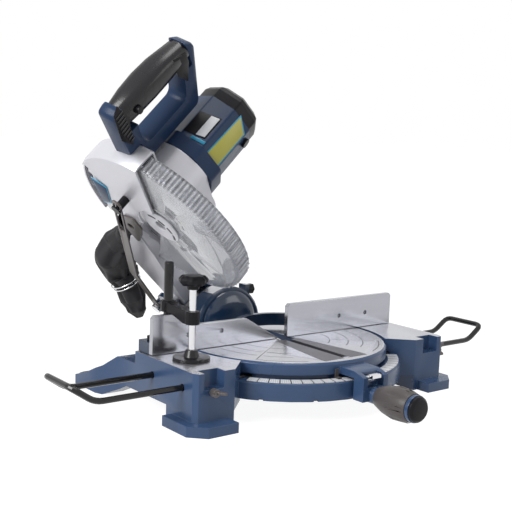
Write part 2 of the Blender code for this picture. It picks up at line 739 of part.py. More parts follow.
def swept(path, radii, sides):
    """A closed skin of round hoops along a path."""
    hoops = []
    side = (path[1] - path[0]).orthogonal().normalized()
    turn = [2 * math.pi * step / sides for step in range(sides)]
    for index, (point, radius) in enumerate(zip(path, radii)):
        ahead = path[min(index + 1, len(path) - 1)] - point
        behind = point - path[max(index - 1, 0)]
        way = (ahead.normalized() + behind.normalized()).normalized()
        side = (side - way * side.dot(way)).normalized()
        up = way.cross(side)
        hoops.append([point + (side * math.cos(a) + up * math.sin(a)) * radius for a in turn])
    return lofted(hoops)


def lofted(hoops):
    """A closed skin over matching rings of points."""
    shape = bmesh.new()
    rings = [[shape.verts.new(point) for point in hoop] for hoop in hoops]
    for low, high in zip(rings, rings[1:]):
        for index in range(len(low)):
            following = (index + 1) % len(low)
            shape.faces.new((low[index], low[following], high[following], high[index]))
    shape.faces.new(rings[0])
    shape.faces.new(rings[-1])
    bmesh.ops.recalc_face_normals(shape, faces=shape.faces)
    return shape


def work_object(shape):
    mesh = bpy.data.meshes.new("work")
    shape.to_mesh(mesh)
    shape.free()
    made = bpy.data.objects.new("work", mesh)
    bpy.context.scene.collection.objects.link(made)
    return made


def boolean(operation, shape, tools):
    """The shape joined with the tools, or cut by them, one exact Boolean each."""
    body = work_object(shape)
    helpers = [work_object(tool) for tool in tools]
    for helper in helpers:
        modifier = body.modifiers.new("step", "BOOLEAN")
        modifier.operation = operation
        modifier.solver = "EXACT"
        modifier.object = helper
    bpy.context.view_layer.update()
    evaluated = body.evaluated_get(bpy.context.evaluated_depsgraph_get())
    result = bmesh.new()
    result.from_mesh(evaluated.to_mesh())
    for used in [body, *helpers]:
        mesh = used.data
        bpy.data.objects.remove(used)
        bpy.data.meshes.remove(mesh)
    bmesh.ops.remove_doubles(result, verts=result.verts, dist=MERGE_DISTANCE)
    bmesh.ops.dissolve_degenerate(result, dist=MERGE_DISTANCE, edges=result.edges)
    seams = [edge for edge in result.edges if edge.is_boundary]
    bmesh.ops.holes_fill(result, edges=seams, sides=4)
    return result


def fused(shape, *tools):
    return boolean("UNION", shape, tools)


def cut(shape, *tools):
    return boolean("DIFFERENCE", shape, tools)


def mirrored(shape):
    """A copy on the other side of the middle plane."""
    copy = shape.copy()
    bmesh.ops.scale(copy, vec=(-1, 1, 1), verts=copy.verts)
    bmesh.ops.reverse_faces(copy, faces=copy.faces)
    return copy


def piece(name, shape, material, parent, smooth=math.radians(32)):
    """A finished sub-part: its own object, finish and parent."""
    mesh = bpy.data.meshes.new(name)
    shape.to_mesh(mesh)
    shape.free()
    mesh.materials.append(FINISHES[material])
    mesh.shade_smooth()
    mesh.set_sharp_from_angle(angle=smooth)
    made = bpy.data.objects.new(name, mesh)
    bpy.context.scene.collection.objects.link(made)
    made.parent = parent
    return made


def guide(name, parent, place=(0, 0, 0), tilt=0):
    """An empty on a joint's axis."""
    made = bpy.data.objects.new(name, None)
    made.empty_display_size = TABLE_HUB_RADIUS
    bpy.context.scene.collection.objects.link(made)
    made.parent = parent
    made.location = place
    made.rotation_euler = (0, tilt, 0)
    return made


# Base
def front_sector(profile, span, steps):
    """A ring section that spans an angle to each side of straight ahead."""
    ahead = -math.pi / 2
    return sector(profile, ahead - span, ahead + span, steps)


def block_outline():
    """The right-hand table block in plan."""
    clear = TABLE_RADIUS + BLOCK_TABLE_GAP
    start = math.asin(BLOCK_BACK / clear)
    finish_angle = -math.atan2(BLOCK_WAIST_FRONT, BLOCK_WAIST_INNER)
    curve = arc((0, 0), clear, start, finish_angle, 8)
    return [*curve, (BLOCK_INNER, -BLOCK_FRONT), (BLOCK_OUTER - BLOCK_CORNER, -BLOCK_FRONT),
            (BLOCK_OUTER, -BLOCK_FRONT + 2 * BLOCK_CORNER), (BLOCK_OUTER, BLOCK_BACK)]


def base_side():
    """The right-hand block with its front foot and rear leg."""
    block = prism(block_outline(), ARCH_HEIGHT, TABLE_HEIGHT)
    foot_outline = [(FOOT_INNER, -FOOT_BACK), (FOOT_INNER, -FOOT_FRONT),
                    (FOOT_OUTER - FOOT_CHAMFER, -FOOT_FRONT), (FOOT_OUTER, -FOOT_FRONT + FOOT_CHAMFER),
                    (FOOT_OUTER, -FOOT_BACK)]
    foot = prism(foot_outline, 0, FOOT_HEIGHT)
    ankle_outline = [(BLOCK_INNER, -ANKLE_BACK), (BLOCK_INNER, -BLOCK_FRONT),
                     (BLOCK_OUTER - BLOCK_CORNER, -BLOCK_FRONT),
                     (BLOCK_OUTER, -BLOCK_FRONT + 2 * BLOCK_CORNER), (BLOCK_OUTER, -ANKLE_BACK)]
    ankle = prism(ankle_outline, 0, ARCH_HEIGHT + OVERRUN)
    leg_plan = [(REAR_LEG_INNER, BLOCK_BACK - OVERRUN), (BLOCK_OUTER, BLOCK_BACK - OVERRUN),
                (BLOCK_OUTER, (BLOCK_BACK + REAR_FOOT_FRONT) / 2), (REAR_FOOT_OUTER, REAR_FOOT_FRONT),
                (REAR_FOOT_OUTER, REAR_FOOT_BACK), (REAR_FOOT_INNER, REAR_FOOT_BACK)]
    leg = prism(leg_plan, 0, REAR_LEG_TOP)
    slope = [(REAR_SLOPE_TOP - OVERRUN, REAR_LEG_TOP + OVERRUN), (REAR_SLOPE_TOP, REAR_LEG_TOP),
             (REAR_SLOPE_KNEE, REAR_LEG_TOP * REAR_SLOPE_KNEE_SHARE),
             (REAR_SLOPE_TOE, REAR_LEG_TOP * REAR_SLOPE_TOE_SHARE),
             (REAR_FOOT_BACK, FOOT_HEIGHT), (REAR_FOOT_BACK + OVERRUN, FOOT_HEIGHT),
             (REAR_FOOT_BACK + OVERRUN, REAR_LEG_TOP + OVERRUN)]
    arch = [(BLOCK_BACK - 2 * OVERRUN, -OVERRUN), (BLOCK_BACK - 2 * OVERRUN, ARCH_HEIGHT),
            (BLOCK_BACK + ARCH_HEIGHT, ARCH_HEIGHT), (REAR_FOOT_FRONT, -OVERRUN)]
    reach = (REAR_LEG_INNER - OVERRUN, REAR_FOOT_OUTER + OVERRUN)
    leg = cut(leg, prism(slope, *reach, along="X"), prism(arch, *reach, along="X"))
    pocket = box((POCKET_CENTRE - POCKET_WIDTH / 2, POCKET_CENTRE + POCKET_WIDTH / 2),
                 (-BLOCK_FRONT - OVERRUN, -BLOCK_FRONT + POCKET_REACH),
                 (TABLE_HEIGHT - POCKET_DEPTH, TABLE_HEIGHT + OVERRUN))
    outer, deck = BLOCK_OUTER - BLOCK_WALL, TABLE_HEIGHT - BLOCK_DECK
    front_hollow = box((BLOCK_INNER + BLOCK_WALL, outer), (-BLOCK_FRONT + POCKET_REACH + BLOCK_WALL,
                       -ANKLE_BACK - BLOCK_WALL), (-OVERRUN, deck))
    rear_hollow = box((SKIRT_RADIUS + BLOCK_WALL, outer), (-ANKLE_BACK, BLOCK_BACK - BLOCK_WALL),
                      (ARCH_HEIGHT - OVERRUN, deck))
    return cut(fused(block, ankle, foot, leg), pocket, front_hollow, rear_hollow)


def make_base(root):
    land_top = TABLE_HEIGHT - TABLE_RIM_HEIGHT - SEAT_GAP
    floor_top = SKIRT_BOTTOM + FLOOR_THICKNESS
    shelf_low = SKIRT_TOP - FLOOR_THICKNESS
    land_wall = LAND_INNER + FLOOR_THICKNESS
    skirt = front_sector([(FLOOR_RADIUS - OVERRUN, SKIRT_BOTTOM), (land_wall, SKIRT_BOTTOM),
                          (land_wall, shelf_low), (SKIRT_RADIUS - SKIRT_WALL, shelf_low),
                          (SKIRT_RADIUS - SKIRT_WALL, SKIRT_BOTTOM), (SKIRT_RADIUS, SKIRT_BOTTOM),
                          (SKIRT_RADIUS, SKIRT_TOP - SCALE_EDGE), (SKIRT_RADIUS - SCALE_EDGE, SKIRT_TOP),
                          (LAND_OUTER, SKIRT_TOP), (LAND_OUTER, land_top), (LAND_INNER, land_top),
                          (LAND_INNER, floor_top), (FLOOR_RADIUS - OVERRUN, floor_top)],
                         SKIRT_SPAN, SKIRT_STEPS)
    floor = disc(FLOOR_RADIUS, SKIRT_BOTTOM, floor_top, SKIRT_STEPS)
    hub_low = TABLE_HEIGHT - TABLE_HUB_DEPTH - SEAT_GAP
    boss = disc(BOSS_RADIUS, SKIRT_BOTTOM, hub_low, SMALL_STEPS)
    right = base_side()
    left = mirrored(right)
    body = fused(skirt, floor, boss, right, left)
    bolt_hole = disc(PIVOT_BOLT_RADIUS + SEAT_GAP, SKIRT_BOTTOM - OVERRUN, TABLE_HEIGHT, SMALL_STEPS)
    notches = []
    for index in range(SKIRT_NOTCH_COUNT):
        middle = (SKIRT_NOTCH_COUNT - 1) / 2
        turn = Matrix.Rotation(SKIRT_NOTCH_STEP * (index - middle), 4, "Z")
        notch = box((-SKIRT_NOTCH_WIDTH / 2, SKIRT_NOTCH_WIDTH / 2),
                    (-SKIRT_RADIUS - OVERRUN, -SKIRT_RADIUS + SKIRT_WALL / 2),
                    (SKIRT_BOTTOM - OVERRUN, SKIRT_BOTTOM + SKIRT_NOTCH_DEPTH))
        notches.append(placed(notch, turn))
    wing = WING_SHANK_RADIUS + SEAT_GAP
    front_hole = disc(wing, -BLOCK_FRONT - OVERRUN, -BLOCK_FRONT + WING_SHANK_LENGTH, TINY_STEPS,
                      "Y", (-WING_X, 0, WING_Z))
    side_hole = disc(wing, BLOCK_OUTER - WING_SHANK_LENGTH, BLOCK_OUTER + OVERRUN, TINY_STEPS,
                     "X", (0, WING_SIDE_Y, WING_Z))
    support_holes = [disc(BAR_RADIUS + SEAT_GAP, SUPPORT_FRONT - SEAT_GAP, REAR_FOOT_BACK + OVERRUN,
                          TINY_STEPS, "Y", (side * (REAR_FOOT_INNER + REAR_FOOT_OUTER) / 2, 0,
                                            FOOT_HEIGHT / 2)) for side in (-1, 1)]
    fence_holes = [disc(FENCE_BOLT_RADIUS + SEAT_GAP, TABLE_HEIGHT - POCKET_DEPTH,
                        TABLE_HEIGHT + OVERRUN, TINY_STEPS, "Z", (side * FENCE_BOLT_X, FENCE_BOLT_Y, 0))
                   for side in (-1, 1)]
    bore = BAR_RADIUS + RUNNING_GAP
    bores = [disc(bore, BAR_INSIDE / 2, BLOCK_OUTER + OVERRUN, SMALL_STEPS, "X",
                  (0, y, BAR_HEIGHT)) for y in (BAR_BACK_Y, BAR_FRONT_Y)]
    bores += [mirrored(tool) for tool in bores]
    body = cut(body, bolt_hole, *notches, front_hole, side_hole, *support_holes, *fence_holes, *bores)
    piece("base_casting", body, "blue", root)


def make_pivot_bolt(root):
    """The bolt that the turntable swings on, its head under the base."""
    top = TABLE_HEIGHT - TABLE_DECK_THICKNESS - SEAT_GAP
    low = SKIRT_BOTTOM - SEAT_GAP
    shank = PIVOT_BOLT_RADIUS - SEAT_GAP
    profile = [(0, low - PIVOT_HEAD_HEIGHT), (PIVOT_HEAD_RADIUS, low - PIVOT_HEAD_HEIGHT),
               (PIVOT_HEAD_RADIUS, low), (shank, low), (shank, top), (0, top)]
    piece("pivot_bolt", turned(profile, SMALL_STEPS), "steel", root)


def make_scale(root):
    low = SKIRT_TOP + SEAT_GAP
    outer = SKIRT_RADIUS - 2 * SCALE_EDGE
    plate = front_sector([(SCALE_INNER, low), (outer, low), (outer, low + SCALE_THICKNESS),
                          (SCALE_INNER, low + SCALE_THICKNESS)], SCALE_SPAN, 24)
    piece("mitre_scale", plate, "white", root)


def make_support_bar(root):
    """The black rear bar between the two rear feet, which stops the saw tipping back."""
    x = (REAR_FOOT_INNER + REAR_FOOT_OUTER) / 2
    z = FOOT_HEIGHT / 2
    points = [(-x, SUPPORT_FRONT, z), (-x, SUPPORT_Y, z), (x, SUPPORT_Y, z), (x, SUPPORT_FRONT, z)]
    piece("rear_support_bar", rod(points, BAR_RADIUS, 10, BAR_CORNER), "wire", root)


# Fence and clamp
def make_fence(root):
    low = TABLE_HEIGHT + SEAT_GAP * 2
    left = [(-FENCE_HALF_LENGTH, low), (-FENCE_TIP, low), (-FENCE_SLOPE_TOP, low + FENCE_HEIGHT_LEFT),
            (-FENCE_STEP_INNER, low + FENCE_HEIGHT_LEFT), (-FENCE_STEP_OUTER, low + FENCE_HEIGHT_END),
            (-FENCE_HALF_LENGTH + FENCE_CORNER, low + FENCE_HEIGHT_END),
            (-FENCE_HALF_LENGTH, low + FENCE_HEIGHT_END - FENCE_CORNER)]
    top = low + FENCE_HEIGHT_RIGHT
    right = [(FENCE_RIGHT_START, low), (FENCE_HALF_LENGTH, low), (FENCE_HALF_LENGTH, top - FENCE_CORNER),
             (FENCE_HALF_LENGTH - FENCE_CORNER, top), (FENCE_RIGHT_START + FENCE_CORNER, top),
             (FENCE_RIGHT_START, top - FENCE_CORNER)]
    plates = [prism(side, 0, FENCE_THICKNESS, "Y") for side in (left, right)]
    feet = [box(tuple(sorted((side * FENCE_FOOT_INNER, side * FENCE_HALF_LENGTH))),
                (FENCE_THICKNESS / 2, FENCE_FOOT_BACK), (low, low + FENCE_FOOT_HEIGHT))
            for side in (-1, 1)]
    behind = math.pi / 2
    bridge = sector([(BRIDGE_INNER, low + BRIDGE_BOTTOM), (BRIDGE_OUTER, low + BRIDGE_BOTTOM),
                     (BRIDGE_OUTER, low + BRIDGE_TOP), (BRIDGE_INNER, low + BRIDGE_TOP)],
                    behind - BRIDGE_SPAN / 2, behind + BRIDGE_SPAN / 2, 24)
    body = fused(plates[0], plates[1], bridge, *feet)
    z = TABLE_HEIGHT + FENCE_HOLE_HEIGHT
    holes = [disc(FENCE_HOLE_RADIUS, -OVERRUN, FENCE_THICKNESS / 2, TINY_STEPS, "Y",
                  (FENCE_HALF_LENGTH * share, 0, z)) for share in FENCE_HOLE_SHARES]
    post = disc(POST_RADIUS + SEAT_GAP, low + FENCE_FOOT_HEIGHT - POST_SEAT, low + FENCE_HEIGHT_END,
                SMALL_STEPS, "Z", (POST_X, POST_Y, 0))
    bolts = [disc(FENCE_BOLT_RADIUS + SEAT_GAP, low - OVERRUN, low + FENCE_HEIGHT_END, TINY_STEPS,
                  "Z", (side * FENCE_BOLT_X, FENCE_BOLT_Y, 0)) for side in (-1, 1)]
    piece("fence", cut(body, *holes, post, *bolts), "bare", root)
    for side, name in ((-1, "fence_bolt_left"), (1, "fence_bolt_right")):
        seat = low + FENCE_FOOT_HEIGHT + SEAT_GAP
        foot = TABLE_HEIGHT - POCKET_DEPTH + SEAT_GAP
        shank = FENCE_BOLT_RADIUS - SEAT_GAP
        profile = [(0, foot), (shank, foot), (shank, seat), (FENCE_BOLT_HEAD, seat),
                   (FENCE_BOLT_HEAD, seat + FENCE_BOLT_HEAD_HEIGHT), (0, seat + FENCE_BOLT_HEAD_HEIGHT)]
        bolt = turned(profile, TINY_STEPS, "Z", (side * FENCE_BOLT_X, FENCE_BOLT_Y, 0))
        piece(name, bolt, "black", root)


def make_clamp(root):
    low = TABLE_HEIGHT + SEAT_GAP * 2 + FENCE_FOOT_HEIGHT - POST_SEAT + SEAT_GAP
    post = [(0, low), (POST_RADIUS, low), (POST_RADIUS, POST_TOP - POST_CHAMFER),
            (POST_RADIUS - POST_CHAMFER, POST_TOP), (0, POST_TOP)]
    piece("clamp_post", turned(post, SMALL_STEPS, "Z", (POST_X, POST_Y, 0)), "wire", root)
    arm = guide("clamp_arm_axis", root, (POST_X, POST_Y, 0))
    reach_x = SCREW_X - POST_X
    reach_y = SCREW_Y - POST_Y
    step = -POST_Y - SEAT_GAP
    side_view = [(0, ARM_LOW + ARM_RISE), (step, ARM_LOW + ARM_RISE), (reach_y + SLEEVE_RADIUS, ARM_LOW),
                 (reach_y, ARM_LOW), (reach_y, ARM_HIGH), (reach_y + SLEEVE_RADIUS, ARM_HIGH),
                 (0, ARM_COLLAR_HIGH)]
    beam = prism(side_view, -ARM_WIDTH / 2, ARM_WIDTH / 2, "X")
    collar = disc(COLLAR_RADIUS, ARM_LOW + ARM_RISE, ARM_COLLAR_HIGH, SMALL_STEPS)
    sleeve = disc(SLEEVE_RADIUS, ARM_LOW, ARM_HIGH, SMALL_STEPS, "Z", (reach_x, reach_y, 0))
    bores = [disc(POST_RADIUS + RUNNING_GAP, ARM_LOW - OVERRUN, ARM_COLLAR_HIGH + OVERRUN, SMALL_STEPS),
             disc(SCREW_RADIUS + RUNNING_GAP, ARM_LOW - OVERRUN, ARM_HIGH + OVERRUN, SMALL_STEPS,
                  "Z", (reach_x, reach_y, 0))]
    piece("clamp_arm", cut(fused(beam, collar, sleeve), *bores), "black", arm)
    screw = guide("clamp_screw_axis", arm, (reach_x, reach_y, 0))
    pad_low = TABLE_HEIGHT + SEAT_GAP
    socket = pad_low + PAD_SOCKET
    stem = disc(SCREW_RADIUS, socket + SEAT_GAP, SCREW_TOP, SMALL_STEPS)
    piece("clamp_screw", stem, "steel", screw)
    pad = [(0, pad_low), (PAD_RADIUS, pad_low), (PAD_RADIUS, pad_low + PAD_RIM),
           (PAD_CONE_RADIUS, pad_low + PAD_RIM), (PAD_NECK_RADIUS, pad_low + PAD_HEIGHT),
           (SCREW_RADIUS + SEAT_GAP, pad_low + PAD_HEIGHT), (SCREW_RADIUS + SEAT_GAP, socket),
           (0, socket)]
    piece("clamp_pad", turned(pad, KNOB_STEPS // 2), "rubber", screw)
    angles = [2 * math.pi * step / KNOB_STEPS for step in range(KNOB_STEPS)]
    radii = [KNOB_RADIUS - KNOB_LOBE * (1 + math.cos(KNOB_LOBES * a)) / 2 for a in angles]
    crown_low = KNOB_LOW + KNOB_COLLAR_LENGTH
    levels = [(crown_low, KNOB_CHAMFER), (crown_low + KNOB_CHAMFER, 0), (KNOB_HIGH - KNOB_CHAMFER, 0),
              (KNOB_HIGH, KNOB_CHAMFER)]
    crown = lofted([[((r - inset) * math.cos(a), (r - inset) * math.sin(a), level)
                     for r, a in zip(radii, angles)] for level, inset in levels])
    hub = disc(KNOB_COLLAR_RADIUS, KNOB_LOW, KNOB_HIGH - KNOB_COLLAR_LENGTH, SMALL_STEPS)
    hole = disc(SCREW_RADIUS + SEAT_GAP, KNOB_LOW - OVERRUN, SCREW_TOP + SEAT_GAP, SMALL_STEPS)
    piece("clamp_knob", cut(fused(crown, hub), hole), "black", screw)


# Extension bars and wing bolts
def make_extension_bars(root):
    for side, pushed, name in ((-1, 0, "extension_bar_left"), (1, BAR_PUSHED_IN, "extension_bar_right")):
        places = [(BAR_INSIDE - pushed, BAR_BACK_Y, 0), (BAR_BEND - pushed, BAR_BACK_Y, 0),
                  (BAR_END - pushed, BAR_BACK_Y, BAR_RISE), (BAR_END - pushed, BAR_FRONT_Y, BAR_RISE),
                  (BAR_BEND - pushed, BAR_FRONT_Y, 0), (BAR_INSIDE - pushed, BAR_FRONT_Y, 0)]
        middle = (BAR_BACK_Y + BAR_FRONT_Y) / 2
        axis = guide(name + "_axis", root, (side * BAR_INSIDE, middle, BAR_HEIGHT))
        points = [(side * (x - BAR_INSIDE), y - middle, z) for x, y, z in places]
        piece(name, rod(points, BAR_RADIUS, 10, BAR_CORNER), "wire", axis)


def wing_shape():
    """A wing bolt along -Z from its seat at zero, its shank along +Z."""
    shank = disc(WING_SHANK_RADIUS, -SEAT_GAP, WING_SHANK_LENGTH - 2 * SEAT_GAP, TINY_STEPS)
    hub = disc(WING_HUB_RADIUS, -WING_HUB_LENGTH, -SEAT_GAP, SMALL_STEPS)
    outline = [(0, -WING_HUB_LENGTH / 3), (WING_SPAN / 2, -WING_HUB_LENGTH),
               (WING_SPAN / 2, -2 * WING_HUB_LENGTH), (WING_SPAN / 3, -2 * WING_HUB_LENGTH),
               (0, -WING_HUB_LENGTH), (-WING_SPAN / 3, -2 * WING_HUB_LENGTH),
               (-WING_SPAN / 2, -2 * WING_HUB_LENGTH), (-WING_SPAN / 2, -WING_HUB_LENGTH)]
    wings = prism(outline, -WING_THICKNESS / 2, WING_THICKNESS / 2, "Y")
    return fused(hub, shank, wings)


def make_wing_bolts(root):
    left = guide("wing_bolt_left_axis", root, (-WING_X, -BLOCK_FRONT, WING_Z))
    piece("wing_bolt_left", placed(wing_shape(), Matrix.Rotation(-math.pi / 2, 4, "X")), "taupe", left)
    right = guide("wing_bolt_right_axis", root, (BLOCK_OUTER, WING_SIDE_Y, WING_Z))
    piece("wing_bolt_right", placed(wing_shape(), Matrix.Rotation(-math.pi / 2, 4, "Y")), "taupe", right)


# Turntable
def insert_outline(side, shrink):
    """One kerf insert in plan, on the left (-1) or the right (1) of the cut."""
    inner = KERF_SLOT_RIGHT if side > 0 else KERF_SLOT_LEFT
    front = KERF_CHANNEL_FRONT - shrink
    back = KERF_INSERT_BACK + shrink
    wide = side * (KERF_INSERT_FRONT_WIDTH - shrink)
    return [(side * inner, -front), (wide, -front), (wide, -front * KERF_STEP_SHARE),
            (side * (KERF_INSERT_BACK_WIDTH - shrink), -back), (side * inner, -back)]


def make_turntable(axis):
    rim_low = TABLE_HEIGHT - TABLE_RIM_HEIGHT
    deck_low = TABLE_HEIGHT - TABLE_DECK_THICKNESS
    wall = TABLE_RADIUS - SKIRT_WALL * 2
    profile = [(0, TABLE_HEIGHT - TABLE_HUB_DEPTH), (TABLE_HUB_RADIUS, TABLE_HEIGHT - TABLE_HUB_DEPTH),
               (TABLE_HUB_RADIUS, deck_low), (wall, deck_low), (wall, rim_low), (TABLE_RADIUS, rim_low),
               (TABLE_RADIUS, TABLE_HEIGHT - TABLE_EDGE_CHAMFER),
               (TABLE_RADIUS - TABLE_EDGE_CHAMFER, TABLE_HEIGHT), (0, TABLE_HEIGHT)]
    table = turned(profile, FINE_STEPS)
    carrier = box((-CARRIER_HALF, CARRIER_HALF), (FLOOR_RADIUS, TRUNNION_FRONT + OVERRUN),
                  (TRUNNION_BOTTOM, TABLE_HEIGHT - TABLE_EDGE_CHAMFER))
    drum_z = TABLE_HEIGHT - TRUNNION_DROP
    drum = turned([(0, TRUNNION_FRONT), (TRUNNION_RADIUS - TRUNNION_RIM / 2, TRUNNION_FRONT),
                   (TRUNNION_RADIUS, TRUNNION_FRONT + TRUNNION_RIM / 2), (TRUNNION_RADIUS, TRUNNION_BACK),
                   (0, TRUNNION_BACK)], ROUND_STEPS, "Y", (0, 0, drum_z))
    hollow = disc(TRUNNION_RADIUS - TRUNNION_RIM, TRUNNION_FRONT - OVERRUN,
                  TRUNNION_FRONT + TRUNNION_RECESS, ROUND_STEPS, "Y", (0, 0, drum_z))
    drum = cut(drum, hollow)
    hub = disc(TRUNNION_RADIUS / 2, TRUNNION_FRONT, TRUNNION_BACK, ROUND_STEPS, "Y",
               (0, 0, TABLE_HEIGHT))
    flat = box((-SKIRT_RADIUS, SKIRT_RADIUS), (TRUNNION_FRONT - OVERRUN, TRUNNION_BACK + OVERRUN),
               (-OVERRUN, TRUNNION_BOTTOM))
    lug_top = drum_z + TRUNNION_RADIUS
    lug = box((STOP_LUG_X - STOP_KNOB_RADIUS, STOP_LUG_X), (STOP_Y - STOP_KNOB_RADIUS,
              STOP_Y + STOP_KNOB_RADIUS), (TABLE_HEIGHT, lug_top))
    body = fused(table, carrier, cut(fused(drum, hub), flat), lug)
    arm = [(-TABLE_RADIUS + OVERRUN * 2, TABLE_HEIGHT - TABLE_EDGE_CHAMFER * 2),
           (-MITRE_ARM_BACK, MITRE_ARM_TOP), (-MITRE_ARM_FRONT, MITRE_ARM_TOP - OVERRUN),
           (-MITRE_ARM_FRONT, MITRE_ARM_BOTTOM), (-MITRE_ARM_BACK, MITRE_ARM_BOTTOM),
           (-MITRE_ARM_BACK, rim_low), (-TABLE_RADIUS + OVERRUN * 2, rim_low)]
    bracket = prism(arm, -MITRE_ARM_HALF, MITRE_ARM_HALF, "X")
    pocket = box((-MITRE_POCKET_HALF, MITRE_POCKET_HALF), (-MITRE_ARM_FRONT - OVERRUN, -MITRE_ARM_BACK
                 - OVERRUN), (MITRE_ARM_TOP - MITRE_POCKET_DEPTH, MITRE_ARM_TOP + OVERRUN))
    collar = disc(HANDLE_COLLAR_RADIUS, -MITRE_ARM_FRONT - HANDLE_COLLAR_LENGTH, -MITRE_ARM_BACK,
                  ROUND_STEPS, "Y", (0, 0, HANDLE_Z))
    rod_bore = disc(LOCK_ROD_RADIUS + RUNNING_GAP, -HANDLE_START - OVERRUN, -LOCK_ROD_TIP,
                    SMALL_STEPS, "Y", (0, 0, HANDLE_Z))
    pin_bore = disc(LATCH_PIN_RADIUS + RUNNING_GAP, -MITRE_POCKET_HALF - OVERRUN, MITRE_POCKET_HALF
                    + OVERRUN, TINY_STEPS, "X", (0, *latch_place()))
    channel = box((-KERF_CHANNEL_LEFT, KERF_CHANNEL_RIGHT), (-KERF_CHANNEL_FRONT + OVERRUN,
                  KERF_CHANNEL_BACK), (rim_low - OVERRUN - TABLE_HUB_DEPTH, TABLE_HEIGHT + OVERRUN))
    pockets = [prism(insert_outline(side, 0), TABLE_HEIGHT - KERF_INSERT_THICKNESS,
                     TABLE_HEIGHT + OVERRUN) for side in (-1, 1)]
    bolt = disc(PIVOT_BOLT_RADIUS, TABLE_HEIGHT - TABLE_HUB_DEPTH - OVERRUN,
                TABLE_HEIGHT - TABLE_DECK_THICKNESS, SMALL_STEPS)
    shaft = disc(BEVEL_SHAFT_RADIUS + SEAT_GAP, BEVEL_SHAFT_FRONT - SEAT_GAP, TRUNNION_BACK + OVERRUN,
                 SMALL_STEPS, "Y", (0, 0, TABLE_HEIGHT))
    stop = disc(STOP_BOLT_RADIUS + SEAT_GAP, STOP_LUG_X - STOP_KNOB_RADIUS / 2,
                STOP_LUG_X + OVERRUN, TINY_STEPS, "X", (0, STOP_Y, stop_height()))
    body = fused(body, bracket, collar)
    body = cut(body, channel, *pockets, bolt, shaft, stop, pocket, rod_bore, pin_bore)
    piece("turntable", body, "bare", axis)


def stop_height():
    """The bevel stop bolt sits near the top of its lug."""
    return TABLE_HEIGHT - TRUNNION_DROP + TRUNNION_RADIUS - STOP_KNOB_RADIUS


def latch_place():
    """The detent latch hangs on a pin in the mitre arm's pocket."""
    return (-(MITRE_ARM_BACK + MITRE_ARM_FRONT) / 2 - OVERRUN / 2, MITRE_ARM_TOP - MITRE_POCKET_DEPTH / 3)


def make_table_parts(axis):
    """Kerf inserts, pointer, bevel shaft and knobs on the turntable."""
    for side, name in ((-1, "kerf_insert_left"), (1, "kerf_insert_right")):
        outline = insert_outline(side, SEAT_GAP)
        plate = prism(outline, TABLE_HEIGHT - KERF_INSERT_THICKNESS + SEAT_GAP, TABLE_HEIGHT)
        piece(name, plate, "insert", axis)
    low = SKIRT_TOP + SCALE_THICKNESS + 4 * SEAT_GAP
    tip = SKIRT_RADIUS - SCALE_EDGE
    x = MITRE_ARM_HALF + POINTER_WIDTH
    rim = TABLE_RADIUS + SEAT_GAP
    high = TABLE_HEIGHT - TABLE_RIM_HEIGHT / 2
    side_view = [(-rim, high), (-rim, low), (-rim - POINTER_REACH, low),
                 (-rim - POINTER_REACH, low + POINTER_THICKNESS),
                 (-rim - POINTER_THICKNESS, low + POINTER_THICKNESS), (-rim - POINTER_THICKNESS, high)]
    pointer = prism(side_view, -x, -x + POINTER_WIDTH, "X")
    piece("mitre_pointer", placed(pointer, Matrix.Rotation(-POINTER_WIDTH / tip, 4, "Z")), "steel", axis)
    shaft = disc(BEVEL_SHAFT_RADIUS, BEVEL_SHAFT_FRONT, BEVEL_SHAFT_BACK, SMALL_STEPS, "Y",
                 (0, 0, TABLE_HEIGHT))
    piece("bevel_shaft", shaft, "steel", axis)
    knob = guide("bevel_lock_axis", axis, (0, BEVEL_SHAFT_BACK, TABLE_HEIGHT))
    outline = []
    for lobe in range(LOCK_KNOB_LOBES):
        angle = 2 * math.pi * lobe / LOCK_KNOB_LOBES
        half = math.pi / LOCK_KNOB_LOBES
        tip = (LOCK_KNOB_RADIUS * math.cos(angle), LOCK_KNOB_RADIUS * math.sin(angle))
        dip = LOCK_KNOB_RADIUS * LOCK_KNOB_DIP_SHARE
        outline += [tip, (dip * math.cos(angle + half), dip * math.sin(angle + half))]
    start = BEVEL_BOSS_BACK + 2 * SEAT_GAP - BEVEL_SHAFT_BACK
    crown = prism(softened(outline, LOCK_KNOB_RADIUS / 4, 3), start, start + LOCK_KNOB_LENGTH, "Y")
    cap = disc(LOCK_KNOB_RADIUS / 2, start, OVERRUN, SMALL_STEPS, "Y")
    bore = disc(BEVEL_SHAFT_RADIUS + SEAT_GAP, start - OVERRUN, SEAT_GAP, SMALL_STEPS, "Y")
    piece("bevel_lock_knob", cut(fused(crown, cap), bore), "black", knob)
    stop = guide("bevel_stop_axis", axis, (STOP_LUG_X, STOP_Y, stop_height()))
    head = disc(STOP_KNOB_RADIUS, SEAT_GAP, STOP_KNOB_LENGTH, 6, "X")
    shank = disc(STOP_BOLT_RADIUS, SEAT_GAP - STOP_KNOB_RADIUS / 2 + SEAT_GAP, STOP_KNOB_LENGTH / 2,
                 TINY_STEPS, "X")
    piece("bevel_stop_bolt", fused(head, shank), "black", stop)


